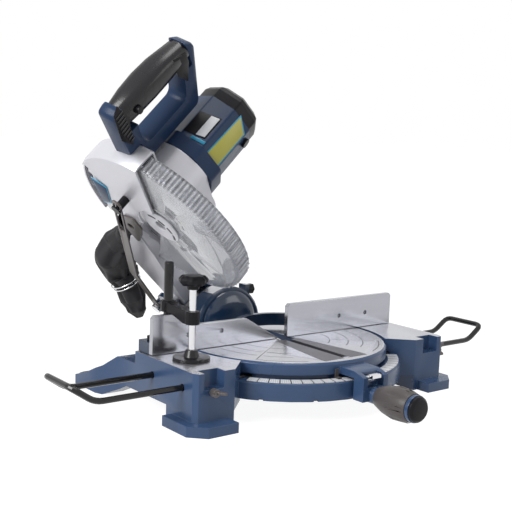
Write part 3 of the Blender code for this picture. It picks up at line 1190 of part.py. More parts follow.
def make_mitre_handle(axis):
    """The barrel handle screws its rod in to lock the table's angle."""
    handle = guide("mitre_lock_axis", axis, (0, 0, HANDLE_Z))
    length = HANDLE_BARREL_END - HANDLE_START
    swell = HANDLE_RADIUS - HANDLE_NECK_RADIUS
    profile = [(HANDLE_NECK_RADIUS + swell * grow, -HANDLE_START - length * along)
               for along, grow in HANDLE_BARREL_SHARES]
    bore = LOCK_ROD_RADIUS + SEAT_GAP
    depth = HANDLE_START + length / 2
    profile += [(0, -HANDLE_BARREL_END), (0, -depth), (bore, -depth), (bore, -HANDLE_START)]
    barrel = turned(profile, ROUND_STEPS, "Y")
    flutes = []
    for index in range(HANDLE_FLUTES):
        angle = 2 * math.pi * index / HANDLE_FLUTES
        offset = HANDLE_RADIUS + HANDLE_FLUTE_RADIUS - HANDLE_FLUTE_DEPTH
        flutes.append(disc(HANDLE_FLUTE_RADIUS, -HANDLE_BARREL_END + length / 8,
                           -HANDLE_START - length / 8, TINY_STEPS, "Y",
                           (offset * math.cos(angle), 0, offset * math.sin(angle))))
    piece("mitre_handle", cut(barrel, *flutes), "taupe", handle)
    band = disc(HANDLE_RING_RADIUS, -HANDLE_RING_END, -HANDLE_BARREL_END - SEAT_GAP, ROUND_STEPS, "Y")
    piece("mitre_handle_ring", band, "blue", handle)
    cap = turned([(0, -HANDLE_END), (HANDLE_CAP_RADIUS - KERF_SLOT_LEFT, -HANDLE_END),
                  (HANDLE_CAP_RADIUS, -HANDLE_END + KERF_SLOT_LEFT),
                  (HANDLE_CAP_RADIUS, -HANDLE_RING_END - SEAT_GAP), (0, -HANDLE_RING_END - SEAT_GAP)],
                 ROUND_STEPS, "Y")
    piece("mitre_handle_cap", cap, "black", handle)
    lock_rod = disc(LOCK_ROD_RADIUS, -depth + SEAT_GAP, -LOCK_ROD_TIP - SEAT_GAP, SMALL_STEPS, "Y")
    piece("mitre_lock_rod", lock_rod, "steel", handle)


def make_latch(axis):
    """The spring detent latch in the mitre arm's pocket."""
    y, z = latch_place()
    latch = guide("mitre_latch_axis", axis, (0, y, z))
    side_view = [(LATCH_LENGTH / 3, LATCH_THICKNESS), (-LATCH_LENGTH / 2, LATCH_THICKNESS),
                 (-LATCH_LENGTH / 2, -LATCH_THICKNESS / 2), (0, -LATCH_THICKNESS),
                 (LATCH_THICKNESS / 2, -LATCH_DROP / 2), (LATCH_NOSE, -LATCH_DROP / 2),
                 (LATCH_LENGTH / 3, -LATCH_THICKNESS / 2)]
    lever = prism(side_view, -LATCH_HALF, LATCH_HALF, "X")
    pin = disc(LATCH_PIN_RADIUS, -MITRE_POCKET_HALF - OVERRUN / 2, MITRE_POCKET_HALF + OVERRUN / 2,
               TINY_STEPS, "X")
    piece("mitre_latch", fused(lever, pin), "steel", latch)


# Bevel arm
def make_bevel_arm(bevel):
    """The arm that tilts on the trunnion and carries the chop pivot between two ears."""
    boss = turned([(0, BEVEL_BOSS_FRONT), (BEVEL_BOSS_RADIUS, BEVEL_BOSS_FRONT),
                   (BEVEL_BOSS_RADIUS, BEVEL_BOSS_BACK - TRUNNION_RIM),
                   (BEVEL_BOSS_RADIUS - TRUNNION_RIM, BEVEL_BOSS_BACK), (0, BEVEL_BOSS_BACK)],
                  ROUND_STEPS, "Y")
    crown = arc((PIVOT_Y, PIVOT_Z), EAR_RADIUS, -EAR_DIP, math.pi + EAR_DIP, 12)
    ear_line = [(PIVOT_Y - EAR_RADIUS * EAR_FRONT_SHARE, 0), *reversed(crown),
                (PIVOT_Y + EAR_RADIUS * EAR_BACK_SHARE, 0)]
    ears = [prism(ear_line, low, high, "X") for low, high in ((-EAR_OUTER, -EAR_INNER),
                                                               (EAR_INNER, EAR_OUTER))]
    lug_line = [(PIVOT_Y + EAR_RADIUS, 0), (PIVOT_Y + EAR_RADIUS, LINK_Z),
                *reversed(arc((LINK_Y, LINK_Z), LINK_LUG_RADIUS, 0, LINK_LUG_SPAN, 8)),
                (LINK_Y - LINK_LUG_RADIUS / 2, 0)]
    lug = prism(lug_line, -EAR_OUTER, -EAR_INNER, "X")
    body = fused(boss, *ears, lug)
    pin = disc(PIVOT_PIN_RADIUS + SEAT_GAP, -EAR_OUTER - OVERRUN, EAR_OUTER + OVERRUN, SMALL_STEPS,
               "X", (0, PIVOT_Y, PIVOT_Z))
    link_pin = disc(LINK_PIN_RADIUS + SEAT_GAP, -EAR_OUTER - OVERRUN, -EAR_INNER - SEAT_GAP * 3,
                    SMALL_STEPS, "X", (0, LINK_Y, LINK_Z))
    shaft = disc(BEVEL_SHAFT_RADIUS + RUNNING_GAP / 2, BEVEL_BOSS_FRONT - OVERRUN,
                 BEVEL_BOSS_BACK + OVERRUN, SMALL_STEPS, "Y")
    lock_hole = disc(LOCK_PIN_RADIUS + RUNNING_GAP, EAR_OUTER - LOCK_PIN_REACH, EAR_OUTER + OVERRUN,
                     SMALL_STEPS, "X", (0, LOCK_PIN_Y, LOCK_PIN_Z))
    swing = disc(HEAD_ARM_BACK + SWING_GAP, -EAR_INNER, EAR_INNER, ROUND_STEPS, "X",
                 (0, PIVOT_Y, PIVOT_Z))
    spring_seat = disc(SPRING_WIRE / 2 + SEAT_GAP, -SPRING_LEG - SEAT_GAP, 0, TINY_STEPS, "Z",
                       (SPRING_START, PIVOT_Y + SPRING_RADIUS, PIVOT_Z))
    piece("bevel_arm", cut(body, swing, pin, link_pin, shaft, lock_hole, spring_seat), "blue", bevel)
    reach = EAR_OUTER + SEAT_GAP
    profile = [(0, -EAR_OUTER), (PIVOT_PIN_RADIUS, -EAR_OUTER), (PIVOT_PIN_RADIUS, reach),
               (PIVOT_PIN_HEAD_RADIUS, reach), (PIVOT_PIN_HEAD_RADIUS, reach + PIVOT_PIN_HEAD),
               (0, reach + PIVOT_PIN_HEAD)]
    piece("chop_pivot_pin", turned(profile, SMALL_STEPS, "X", (0, PIVOT_Y, PIVOT_Z)), "steel", bevel)


def spring_path():
    """The return spring's centre line: a straight leg down, its coils, and a short end up."""
    count = SPRING_TURNS * SPRING_POINTS
    coil = []
    for index in range(count + 1):
        angle = 2 * math.pi * index / SPRING_POINTS
        x = SPRING_START - SPRING_PITCH * index / SPRING_POINTS
        coil.append(Vector((x, PIVOT_Y + SPRING_RADIUS * math.cos(angle),
                            PIVOT_Z + SPRING_RADIUS * math.sin(angle))))
    leg = coil[0] + Vector((0, 0, -SPRING_LEG))
    return [leg, *coil]


def make_return_spring(bevel):
    path = spring_path()
    coil = path[1:]
    apart = min((a - b).length for index, a in enumerate(coil)
                for b in coil[index + SPRING_POINTS // 2:]) - SPRING_WIRE
    print("return spring: least gap to itself", round(apart / MM, 2), "mm")
    piece("return_spring", rod(path, SPRING_WIRE / 2, 6), "steel", bevel)


def make_lock_pin(bevel):
    """The pull pin that holds the head down for carrying, shown pulled out."""
    pin = guide("lock_pin_axis", bevel, (EAR_OUTER, LOCK_PIN_Y, LOCK_PIN_Z))
    knob = LOCK_PIN_KNOB_RADIUS
    tip = -LOCK_PIN_REACH + OVERRUN
    profile = [(0, tip), (LOCK_PIN_RADIUS, tip), (LOCK_PIN_RADIUS, OVERRUN), (knob, OVERRUN),
               (knob, OVERRUN + LOCK_PIN_KNOB_LENGTH), (0, OVERRUN + LOCK_PIN_KNOB_LENGTH)]
    piece("head_lock_pin", turned(profile, SMALL_STEPS, "X"), "black", pin)


def make_link(bevel):
    """The flat slotted bar that links the head to the arm; it hangs on its lower pin."""
    axis = guide("guard_link_axis", bevel, (0, LINK_Y, LINK_Z))
    stud = Vector((BLADE_Y - LINK_STUD_FORWARD, BLADE_Z + LINK_STUD_UP))
    foot = Vector((LINK_Y, LINK_Z))
    top = stud - foot
    bend = Vector((-LINK_BEND_FORWARD, LINK_BEND_RISE))
    along = (top - bend).normalized()
    across = Vector((-along.y, along.x))
    lower = bend.normalized()
    lower_across = Vector((-lower.y, lower.x))
    half = LINK_WIDTH / 2
    end = top + along * (LINK_SLOT_OVER + LINK_END - half / 2)
    outline = []
    outline += [tuple(-lower_across * half), tuple(bend - (across + lower_across).normalized() * half)]
    outline += [tuple(end - across * half), tuple(end + along * half / 2 - across * half / 2),
                tuple(end + along * half / 2 + across * half / 2), tuple(end + across * half)]
    outline += [tuple(bend + (across + lower_across).normalized() * half), tuple(lower_across * half),
                tuple(lower_across * half / 2 - lower * half), tuple(-lower_across * half / 2 - lower * half)]
    low, high = -LINK_INNER - LINK_THICKNESS, -LINK_INNER
    bar = prism(outline, low, high, "X")
    slot = LINK_SLOT_WIDTH / 2
    tail = top - along * LINK_SLOT_LENGTH
    head = top + along * LINK_SLOT_OVER
    slot_line = [tuple(tail - across * slot), tuple(head - across * slot), tuple(head + across * slot),
                 tuple(tail + across * slot)]
    opening = prism(softened(slot_line, slot * LINK_SLOT_CORNER_SHARE, 4), low - OVERRUN, high + OVERRUN, "X")
    hole = disc(LINK_PIN_RADIUS + RUNNING_GAP, low - OVERRUN, high + OVERRUN, SMALL_STEPS, "X")
    piece("guard_link", cut(bar, opening, hole), "taupe", axis)
    head_low = low - RUNNING_GAP
    profile = [(0, head_low - PIVOT_PIN_HEAD), (LINK_LUG_RADIUS - SEAT_GAP, head_low - PIVOT_PIN_HEAD),
               (LINK_LUG_RADIUS - SEAT_GAP, head_low), (LINK_PIN_RADIUS, head_low),
               (LINK_PIN_RADIUS, -EAR_INNER - SEAT_GAP * 4), (0, -EAR_INNER - SEAT_GAP * 4)]
    pin = turned(profile, SMALL_STEPS, "X", (0, LINK_Y, LINK_Z))
    piece("link_pin", pin, "steel", bevel)


# Head castings
def guard_shell(outer, half, wall, start, end, steps, hub):
    """A hollow disc sector, open to the inside of its span, walls on both sides and a rim."""
    inner = outer - wall
    solid = sector([(hub, -half), (outer, -half), (outer, half), (hub, half)], start, end, steps, "X")
    hollow = sector([(0, -half + wall), (inner, -half + wall), (inner, half - wall), (0, half - wall)],
                    start - GUARD_OVERSWEEP, end + GUARD_OVERSWEEP, steps, "X")
    return cut(solid, hollow)


def pivot_in_head():
    """The chop pivot seen from the blade's centre."""
    return (PIVOT_Y - BLADE_Y, PIVOT_Z - BLADE_Z)


def guard_solid():
    """The fixed guard before it is hollowed: its left rear slopes in towards the rim."""
    half, skin, outer = UPPER_HALF_WIDTH, GUARD_HALF_WIDTH, UPPER_RADIUS
    steps = 16
    split = GUARD_CREASE[0][0]
    front = [UPPER_START + (split - UPPER_START) * step / steps for step in range(steps)]
    rear = [angle for angle, _, _ in GUARD_CREASE]

    def hoop(x, radius):
        spread = rear[-1] - UPPER_START
        line = [(UPPER_HUB_RADIUS, rear[-1] - spread * step / 8) for step in range(9)]
        line += [(radius, angle) for angle in [*front, *rear]]
        return [(x, -r * math.cos(angle), r * math.sin(angle)) for r, angle in line]

    cheek = hoop(-half, outer - UPPER_CHAMFER / 2)[:-len(rear)]
    cheek += [(-half, y, z) for _, y, z in GUARD_CREASE]
    shape = lofted([hoop(half, outer - UPPER_CHAMFER), hoop(half - UPPER_CHAMFER, outer),
                    hoop(-skin, outer), cheek])
    bmesh.ops.triangulate(shape, faces=shape.faces)
    return shape


def arm_line():
    """The cast arm's outline from the pivot up to the back of the guard."""
    y, z = pivot_in_head()
    back = HEAD_ARM_BACK
    upper = [(ARM_TOP_FRONT, -ARM_TOP_DROP), (ARM_TOP_BACK, -ARM_TOP_DROP),
             (ARM_SHOULDER_BACK, -ARM_SHOULDER_DROP), (y + back, -ARM_SPINE_DROP)]
    foot = list(reversed(arc((y, z), back, -HEAD_ARM_TURN, 0, 14)))
    return [*upper, *foot, (ARM_KNEE_FRONT, -ARM_KNEE_DROP)]


def make_upper_guard(head):
    """The fixed guard, with the arm that runs down to the chop pivot, in one casting."""
    half = UPPER_HALF_WIDTH
    outer, wall = UPPER_RADIUS, UPPER_WALL
    y, z = pivot_in_head()
    arm = prism(arm_line(), -half, half, "X")
    web_line = [(ARM_TOP_FRONT, -ARM_TOP_DROP), (ARM_SHOULDER_BACK, -ARM_SHOULDER_DROP),
                (ARM_SHOULDER_BACK - wall, -ARM_TOP_DROP), (outer + wall, 0), (outer - wall, ARM_TOP_DROP),
                (ARM_TOP_FRONT, ARM_TOP_DROP)]
    web = prism(web_line, HEAD_WEB_START, half - UPPER_CHAMFER / 4, "X")
    boss = disc(HEAD_BOSS_RADIUS, -HEAD_BOSS_HALF, HEAD_BOSS_HALF, SMALL_STEPS, "X", (0, y, z))
    room = disc(SPRING_ROOM, HEAD_WEB_START, half + OVERRUN, ROUND_STEPS, "X", (0, y, z))
    sweep = GUARD_RADIUS + GUARD_RIB_HEIGHT + RUNNING_GAP
    tunnel = disc(sweep, -half + wall, half - wall, FINE_STEPS, "X")
    body = fused(guard_solid(), web, arm)
    body = fused(cut(body, tunnel, room), boss)
    pin = disc(PIVOT_PIN_RADIUS + RUNNING_GAP / 2, -HEAD_BOSS_HALF - OVERRUN, HEAD_BOSS_HALF + OVERRUN,
               SMALL_STEPS, "X", (0, y, z))
    mouth = placed(disc(CHUTE_RADIUS + SEAT_GAP, CHUTE_START - OVERRUN, CHUTE_START + CHUTE_LENGTH,
                        SMALL_STEPS, "Y"), chute_matrix())
    stud_place = (0, -LINK_STUD_FORWARD, LINK_STUD_UP)
    stud_hole = disc(LINK_STUD_PIN + SEAT_GAP, -LINK_INNER - OVERRUN, -half + wall / 2, TINY_STEPS,
                     "X", stud_place)
    piece("upper_guard", cut(body, pin, mouth, stud_hole), "silver", head)
    outer_x = -LINK_INNER - LINK_THICKNESS - RUNNING_GAP
    face = -half - SEAT_GAP
    profile = [(0, outer_x - LINK_STUD_CAP_HEIGHT), (LINK_STUD_CAP, outer_x - LINK_STUD_CAP_HEIGHT),
               (LINK_STUD_CAP, outer_x), (LINK_STUD_PIN, outer_x),
               (LINK_STUD_PIN, -LINK_INNER + RUNNING_GAP), (LINK_STUD_RADIUS, -LINK_INNER + RUNNING_GAP),
               (LINK_STUD_RADIUS, face), (LINK_STUD_PIN, face), (LINK_STUD_PIN, -half + wall / 2 - SEAT_GAP),
               (0, -half + wall / 2 - SEAT_GAP)]
    piece("link_stud", turned(profile, SMALL_STEPS, "X", stud_place), "taupe", head)
    stay_line = [(STAY_LENGTH * back, STAY_LENGTH * up) for back, up in STAY_SHARES]
    stay_hole = (0, *(STAY_LENGTH * share for share in STAY_HOLE_SHARES))
    stay = prism(softened(stay_line, LINK_STUD_RADIUS, 3), face - wall, face, "X")
    hole = disc(LINK_STUD_RADIUS, face - wall - OVERRUN, face + OVERRUN, SMALL_STEPS, "X", stay_hole)
    piece("guard_stay", cut(stay, hole), "taupe", head)


def chute_matrix():
    """The dust chute leaves the rear of the guard, pointing back and down."""
    return Matrix.Translation((0, 0, CHUTE_UP)) @ Matrix.Rotation(CHUTE_TILT, 4, "X")


def housing_line(shrink):
    """The gear housing's outline round the spindle and the motor shaft."""
    low = HOUSING_LOW_RADIUS - shrink
    top = HOUSING_TOP_RADIUS - shrink
    y, z = -MOTOR_FORWARD, MOTOR_UP
    lean = math.atan2(z, y)
    gap = math.hypot(y, z)
    spread = math.acos((top - low) / gap)
    upper = arc((y, z), top, lean - spread, lean + spread, 26)
    lower = arc((0, 0), low, lean + spread, lean - spread + 2 * math.pi, 18)
    return upper + lower


def make_gear_housing(head):
    shell = prism(housing_line(0), HOUSING_START, HOUSING_END, "X")
    hollow = prism(housing_line(HOUSING_WALL), HOUSING_START + HOUSING_WALL, HOUSING_END + OVERRUN, "X")
    neck = ring(SPINDLE_RADIUS + RUNNING_GAP, GUARD_HUB_HOLE - RUNNING_GAP, GUARD_HALF_WIDTH
                - GUARD_WALL * 2, HOUSING_START + HOUSING_WALL / 2, ROUND_STEPS, "X")
    opening = disc(SPINDLE_RADIUS + RUNNING_GAP, -OVERRUN, HOUSING_START + HOUSING_WALL + OVERRUN,
                   SMALL_STEPS, "X")
    lock = disc(SPINDLE_LOCK_RADIUS + RUNNING_GAP / 2, 0, HOUSING_LOW_RADIUS + OVERRUN, SMALL_STEPS,
                "Z", (SPINDLE_LOCK_X, 0, 0))
    lock = placed(lock, spindle_lock_matrix())
    seat = ring(BEARING_RADIUS + SEAT_GAP, BEARING_RADIUS + HOUSING_WALL, HOUSING_START + HOUSING_WALL / 2,
                ARMATURE_START + BEARING_WIDTH, SMALL_STEPS, "X", (0, -MOTOR_FORWARD, MOTOR_UP))
    body = cut(shell, hollow)
    piece("gear_housing", cut(fused(body, neck, seat), opening, lock), "silver", head)


def spindle_lock_matrix():
    """The spindle lock button points forward and down from the gear housing."""
    return Matrix.Rotation(SPINDLE_LOCK_TILT, 4, "X")


def octagon(radius, facet, steps=2):
    """A round-cornered eight-sided outline, its flats at a radius from the centre."""
    corner = radius / math.cos(math.pi / 8)
    points = [(corner * math.cos(math.pi / 8 + math.pi / 4 * index),
               corner * math.sin(math.pi / 8 + math.pi / 4 * index)) for index in range(8)]
    return softened(points, facet, steps)


def about_motor(outline):
    return [(y - MOTOR_FORWARD, z + MOTOR_UP) for y, z in outline]


def make_motor(head):
    centre = (0, -MOTOR_FORWARD, MOTOR_UP)
    band = prism(about_motor(octagon(FLANGE_BAND_RADIUS - SEAT_GAP, MOTOR_FACET * 2, 3)),
                 FLANGE_BAND_START, FLANGE_BAND_END, "X")
    barrel = prism(about_motor(octagon(MOTOR_RADIUS, MOTOR_FACET, 3)), FLANGE_BAND_START, MOTOR_END, "X")
    inside = disc(MOTOR_RADIUS - MOTOR_WALL, FLANGE_BAND_START - OVERRUN, MOTOR_END + OVERRUN,
                  ROUND_STEPS, "X", centre)
    body = cut(fused(band, barrel), inside)
    cap_low = MOTOR_END - OVERRUN
    sides = (math.pi * 3 / 4, -math.pi / 4)
    for angle in sides:
        hole = disc(BRUSH_HOLDER_RADIUS + SEAT_GAP, MOTOR_RADIUS - 3 * MOTOR_WALL, MOTOR_RADIUS + OVERRUN,
                    TINY_STEPS)
        turn = Matrix.Translation((BRUSH_X, -MOTOR_FORWARD, MOTOR_UP)) @ Matrix.Rotation(angle, 4, "X")
        body = cut(body, placed(hole, turn))
    piece("motor_housing", body, "blue", head)
    for angle, name in zip(sides, ("brush_cap_front", "brush_cap_rear")):
        turn = Matrix.Translation((BRUSH_X, -MOTOR_FORWARD, MOTOR_UP)) @ Matrix.Rotation(angle, 4, "X")
        face = MOTOR_RADIUS + SEAT_GAP
        inner = MOTOR_RADIUS - 2 * MOTOR_WALL
        profile = [(0, inner), (BRUSH_HOLDER_RADIUS, inner), (BRUSH_HOLDER_RADIUS, face),
                   (BRUSH_CAP_RADIUS, face), (BRUSH_CAP_RADIUS, face + BRUSH_CAP_HEIGHT),
                   (0, face + BRUSH_CAP_HEIGHT)]
        piece(name, placed(turned(profile, SMALL_STEPS), turn), "black", head)
    hoops = []
    for x, drop in ((MOTOR_END + SEAT_GAP, 0), (CAP_END - CAP_CHAMFER, 0), (CAP_END - CAP_CHAMFER / 2,
                    CAP_CHAMFER / 5), (CAP_END, CAP_CHAMFER * CAP_FACE_SHARE)):
        outline = about_motor(octagon(CAP_RADIUS - drop, MOTOR_FACET, 3))
        hoops.append([(x, y, z) for y, z in outline])
    cap = lofted(hoops)
    room = disc(MOTOR_RADIUS - MOTOR_WALL - CAP_WALL * 2, cap_low, CAP_END - CAP_CHAMFER, SMALL_STEPS,
                "X", centre)
    cap = cut(cap, room)
    slots = []
    for index in range(CAP_SLOTS):
        offset = (index - (CAP_SLOTS - 1) / 2) * CAP_SLOT_PITCH
        half_height = CAP_RADIUS * CAP_SLOT_SHARE
        slots.append(box((CAP_END - CAP_CHAMFER - OVERRUN, CAP_END + OVERRUN),
                         (-MOTOR_FORWARD + offset - CAP_SLOT_WIDTH / 2,
                          -MOTOR_FORWARD + offset + CAP_SLOT_WIDTH / 2),
                         (MOTOR_UP - half_height, MOTOR_UP + half_height)))
    cap = cut(cap, *slots)
    seat = ring(BEARING_RADIUS * TAIL_SEAT_SHARE + SEAT_GAP, BEARING_RADIUS, ARMATURE_END - BEARING_WIDTH,
                CAP_END - CAP_CHAMFER + OVERRUN / 2, SMALL_STEPS, "X", centre)
    shaft_room = disc(ARMATURE_SHAFT_RADIUS + SEAT_GAP, ARMATURE_END - BEARING_WIDTH, ARMATURE_END
                      + SEAT_GAP, SMALL_STEPS, "X", centre)
    piece("motor_cap", cut(fused(cap, seat), shaft_room), "black", head)


# Drive train
def gear_line(teeth, module, angle, phase):
    """A toothed outline with straight-sided teeth, a little slack at the flanks."""
    tip = module * (teeth / 2 + TOOTH_HEIGHT_SHARE)
    root = module * (teeth / 2 - TOOTH_DEPTH_SHARE)
    points = []
    for index in range(teeth):
        for share, radius in ((-TOOTH_ROOT_SHARE, root), (-TOOTH_TIP_SHARE, tip),
                              (TOOTH_TIP_SHARE, tip), (TOOTH_ROOT_SHARE, root)):
            a = angle + 2 * math.pi * (index + phase + share) / teeth
            points.append((radius * math.cos(a), radius * math.sin(a)))
    return points


def make_drive(spindle, armature, head):
    gap = math.hypot(MOTOR_FORWARD, MOTOR_UP)
    module = 2 * (gap - GEAR_BACKLASH / 2) / (PINION_TEETH + GEAR_TEETH)
    lean = math.atan2(MOTOR_UP, -MOTOR_FORWARD)
    wheel_line = gear_line(GEAR_TEETH, module, lean, 0.5)
    start, end = GEAR_X, GEAR_X + GEAR_WIDTH
    wheel = prism(wheel_line, start, end, "X")
    bore = disc(SPINDLE_RADIUS + SEAT_GAP, start - OVERRUN, end + OVERRUN, SMALL_STEPS, "X")
    piece("drive_gear", cut(wheel, bore), "steel", spindle)
    blade_right = BLADE_THICKNESS / 2 + SEAT_GAP
    collar = blade_right + FLANGE_THICKNESS + SEAT_GAP
    profile = [(0, collar), (SPINDLE_RADIUS, collar), (SPINDLE_RADIUS, end), (SPINDLE_TAIL_RADIUS, end),
               (SPINDLE_TAIL_RADIUS, SPINDLE_LENGTH), (0, SPINDLE_LENGTH)]
    piece("spindle", turned(profile, SMALL_STEPS, "X"), "steel", spindle)
    inner = turned([(0, blade_right), (FLANGE_RADIUS, blade_right), (FLANGE_RADIUS * FLANGE_FACE_SHARE,
                    blade_right + FLANGE_THICKNESS), (0, blade_right + FLANGE_THICKNESS)], ROUND_STEPS, "X")
    piece("inner_flange", inner, "steel", spindle)
    left = -blade_right
    outer = turned([(ARBOR_BOLT_RADIUS + SEAT_GAP, left), (FLANGE_RADIUS, left),
                    (FLANGE_RADIUS * FLANGE_FACE_SHARE, left - FLANGE_THICKNESS),
                    (ARBOR_BOLT_RADIUS + SEAT_GAP, left - FLANGE_THICKNESS)], ROUND_STEPS, "X")
    piece("outer_flange", outer, "steel", spindle)
    seat = left - FLANGE_THICKNESS - SEAT_GAP
    head_disc = disc(ARBOR_BOLT_HEAD, seat - ARBOR_BOLT_HEIGHT, seat, 6, "X")
    shank = disc(ARBOR_BOLT_RADIUS, seat - ARBOR_BOLT_HEIGHT / 2, left + SEAT_GAP * 2, SMALL_STEPS, "X")
    piece("arbor_bolt", fused(head_disc, shank), "steel", spindle)
    pinion_module_line = gear_line(PINION_TEETH, module, lean + math.pi, 0)
    pinion = prism(pinion_module_line, start - OVERRUN / 3, end + OVERRUN / 3, "X")
    line = [(0, ARMATURE_START), (ARMATURE_SHAFT_RADIUS, ARMATURE_START)]
    for radius, low, high in ((FAN_RADIUS, FAN_START, FAN_END),
                              (ARMATURE_CORE_RADIUS, ARMATURE_CORE_START, ARMATURE_CORE_END),
                              (COMMUTATOR_RADIUS, COMMUTATOR_START, COMMUTATOR_END)):
        line += [(ARMATURE_SHAFT_RADIUS, low), (radius, low), (radius, high),
                 (ARMATURE_SHAFT_RADIUS, high)]
    line += [(ARMATURE_SHAFT_RADIUS, ARMATURE_END), (0, ARMATURE_END)]
    piece("armature", fused(turned(line, SMALL_STEPS, "X"), pinion), "copper", armature)
    centre = (0, -MOTOR_FORWARD, MOTOR_UP)
    stator = ring(ARMATURE_CORE_RADIUS + STATOR_GAP, MOTOR_RADIUS - MOTOR_WALL - SEAT_GAP,
                  ARMATURE_CORE_START, ARMATURE_CORE_END, ROUND_STEPS, "X", centre)
    piece("stator", stator, "copper", head)
    front = ring(ARMATURE_SHAFT_RADIUS + SEAT_GAP, BEARING_RADIUS, ARMATURE_START,
                 ARMATURE_START + BEARING_WIDTH - SEAT_GAP, SMALL_STEPS, "X", centre)
    piece("motor_bearing", front, "steel", head)


def make_blade(spindle):
    """The saw blade: sharp teeth round the edge and four relief slots."""
    line = []
    for index in range(BLADE_TEETH):
        for share, depth in BLADE_TOOTH_SHARES:
            radius = BLADE_RADIUS - BLADE_GULLET * depth
            a = 2 * math.pi * (index + share) / BLADE_TEETH
            line.append((radius * math.cos(a), radius * math.sin(a)))
    half = BLADE_THICKNESS / 2
    plate = prism(line, -half, half, "X")
    slots = []
    for index in range(BLADE_SLOTS):
        slot = box((-OVERRUN, OVERRUN), (BLADE_RADIUS - BLADE_SLOT_DEPTH, BLADE_RADIUS + OVERRUN),
                   (-BLADE_SLOT_WIDTH / 2, BLADE_SLOT_WIDTH / 2))
        turn = 2 * math.pi * index / BLADE_SLOTS + BLADE_SLOT_TURN
        slots.append(placed(slot, Matrix.Rotation(turn, 4, "X")))
    hole = disc(ARBOR_BOLT_RADIUS + SEAT_GAP, -OVERRUN, OVERRUN, SMALL_STEPS, "X")
    piece("saw_blade", cut(plate, hole, *slots), "steel", spindle)


# Lower guard
def make_lower_guard(axis):
    """The clear swinging guard, ribbed round its rim and with slots in its left wall."""
    half, wall = GUARD_HALF_WIDTH, GUARD_WALL
    body = guard_shell(GUARD_RADIUS, half, wall, GUARD_START, GUARD_END, 27, 0)
    hub = disc(GUARD_HUB_RADIUS, half - wall, half, ROUND_STEPS, "X")
    left_hub = disc(GUARD_HUB_RADIUS, -half, -half + wall, ROUND_STEPS, "X")
    ribs = []
    span = GUARD_END - GUARD_START
    for index in range(GUARD_RIBS):
        angle = GUARD_START + span * (index + 0.5) / GUARD_RIBS
        rib = box((-half * GUARD_RIB_SHARE, half * GUARD_RIB_SHARE), (-GUARD_RADIUS - GUARD_RIB_HEIGHT,
                  -GUARD_RADIUS + wall / 2), (-GUARD_RIB_HEIGHT / 2, GUARD_RIB_HEIGHT / 2))
        ribs.append(placed(rib, Matrix.Rotation(-angle, 4, "X")))
    hole = disc(GUARD_HUB_HOLE, half - wall - OVERRUN, half + OVERRUN, ROUND_STEPS, "X")
    left_hole = disc(FLANGE_RADIUS, -half - OVERRUN, -half + wall + OVERRUN / 4, ROUND_STEPS, "X")
    windows = []
    for angle in GUARD_WINDOWS:
        low = GUARD_WINDOW_RADIUS
        windows.append(sector([(low, -half - OVERRUN), (low + GUARD_WINDOW_WIDTH, -half - OVERRUN),
                               (low + GUARD_WINDOW_WIDTH, -half + wall + OVERRUN / 4),
                               (low, -half + wall + OVERRUN / 4)], angle, angle + GUARD_WINDOW_SPAN, 4, "X"))
    body = cut(fused(body, hub, left_hub), hole, left_hole)
    body = cut(body, *windows)
    piece("lower_guard", fused(body, *ribs), "clear", axis)
    low = -half - SEAT_GAP
    plate = ring(ARBOR_BOLT_HEAD + RUNNING_GAP, GUARD_HUB_RADIUS - RUNNING_GAP, low - HUB_PLATE_THICKNESS,
                 low, ROUND_STEPS, "X")
    piece("guard_hub_plate", plate, "taupe", axis)


# D-handle
def handle_matrix():
    """Carries the handle's own plane (x along the grip, z down, y through) to the head."""
    lean = Matrix.Rotation(HANDLE_LEAN, 4, "X")
    place = Matrix.Translation((0, -HANDLE_GRIP_FORWARD, HANDLE_GRIP_UP))
    return place @ lean


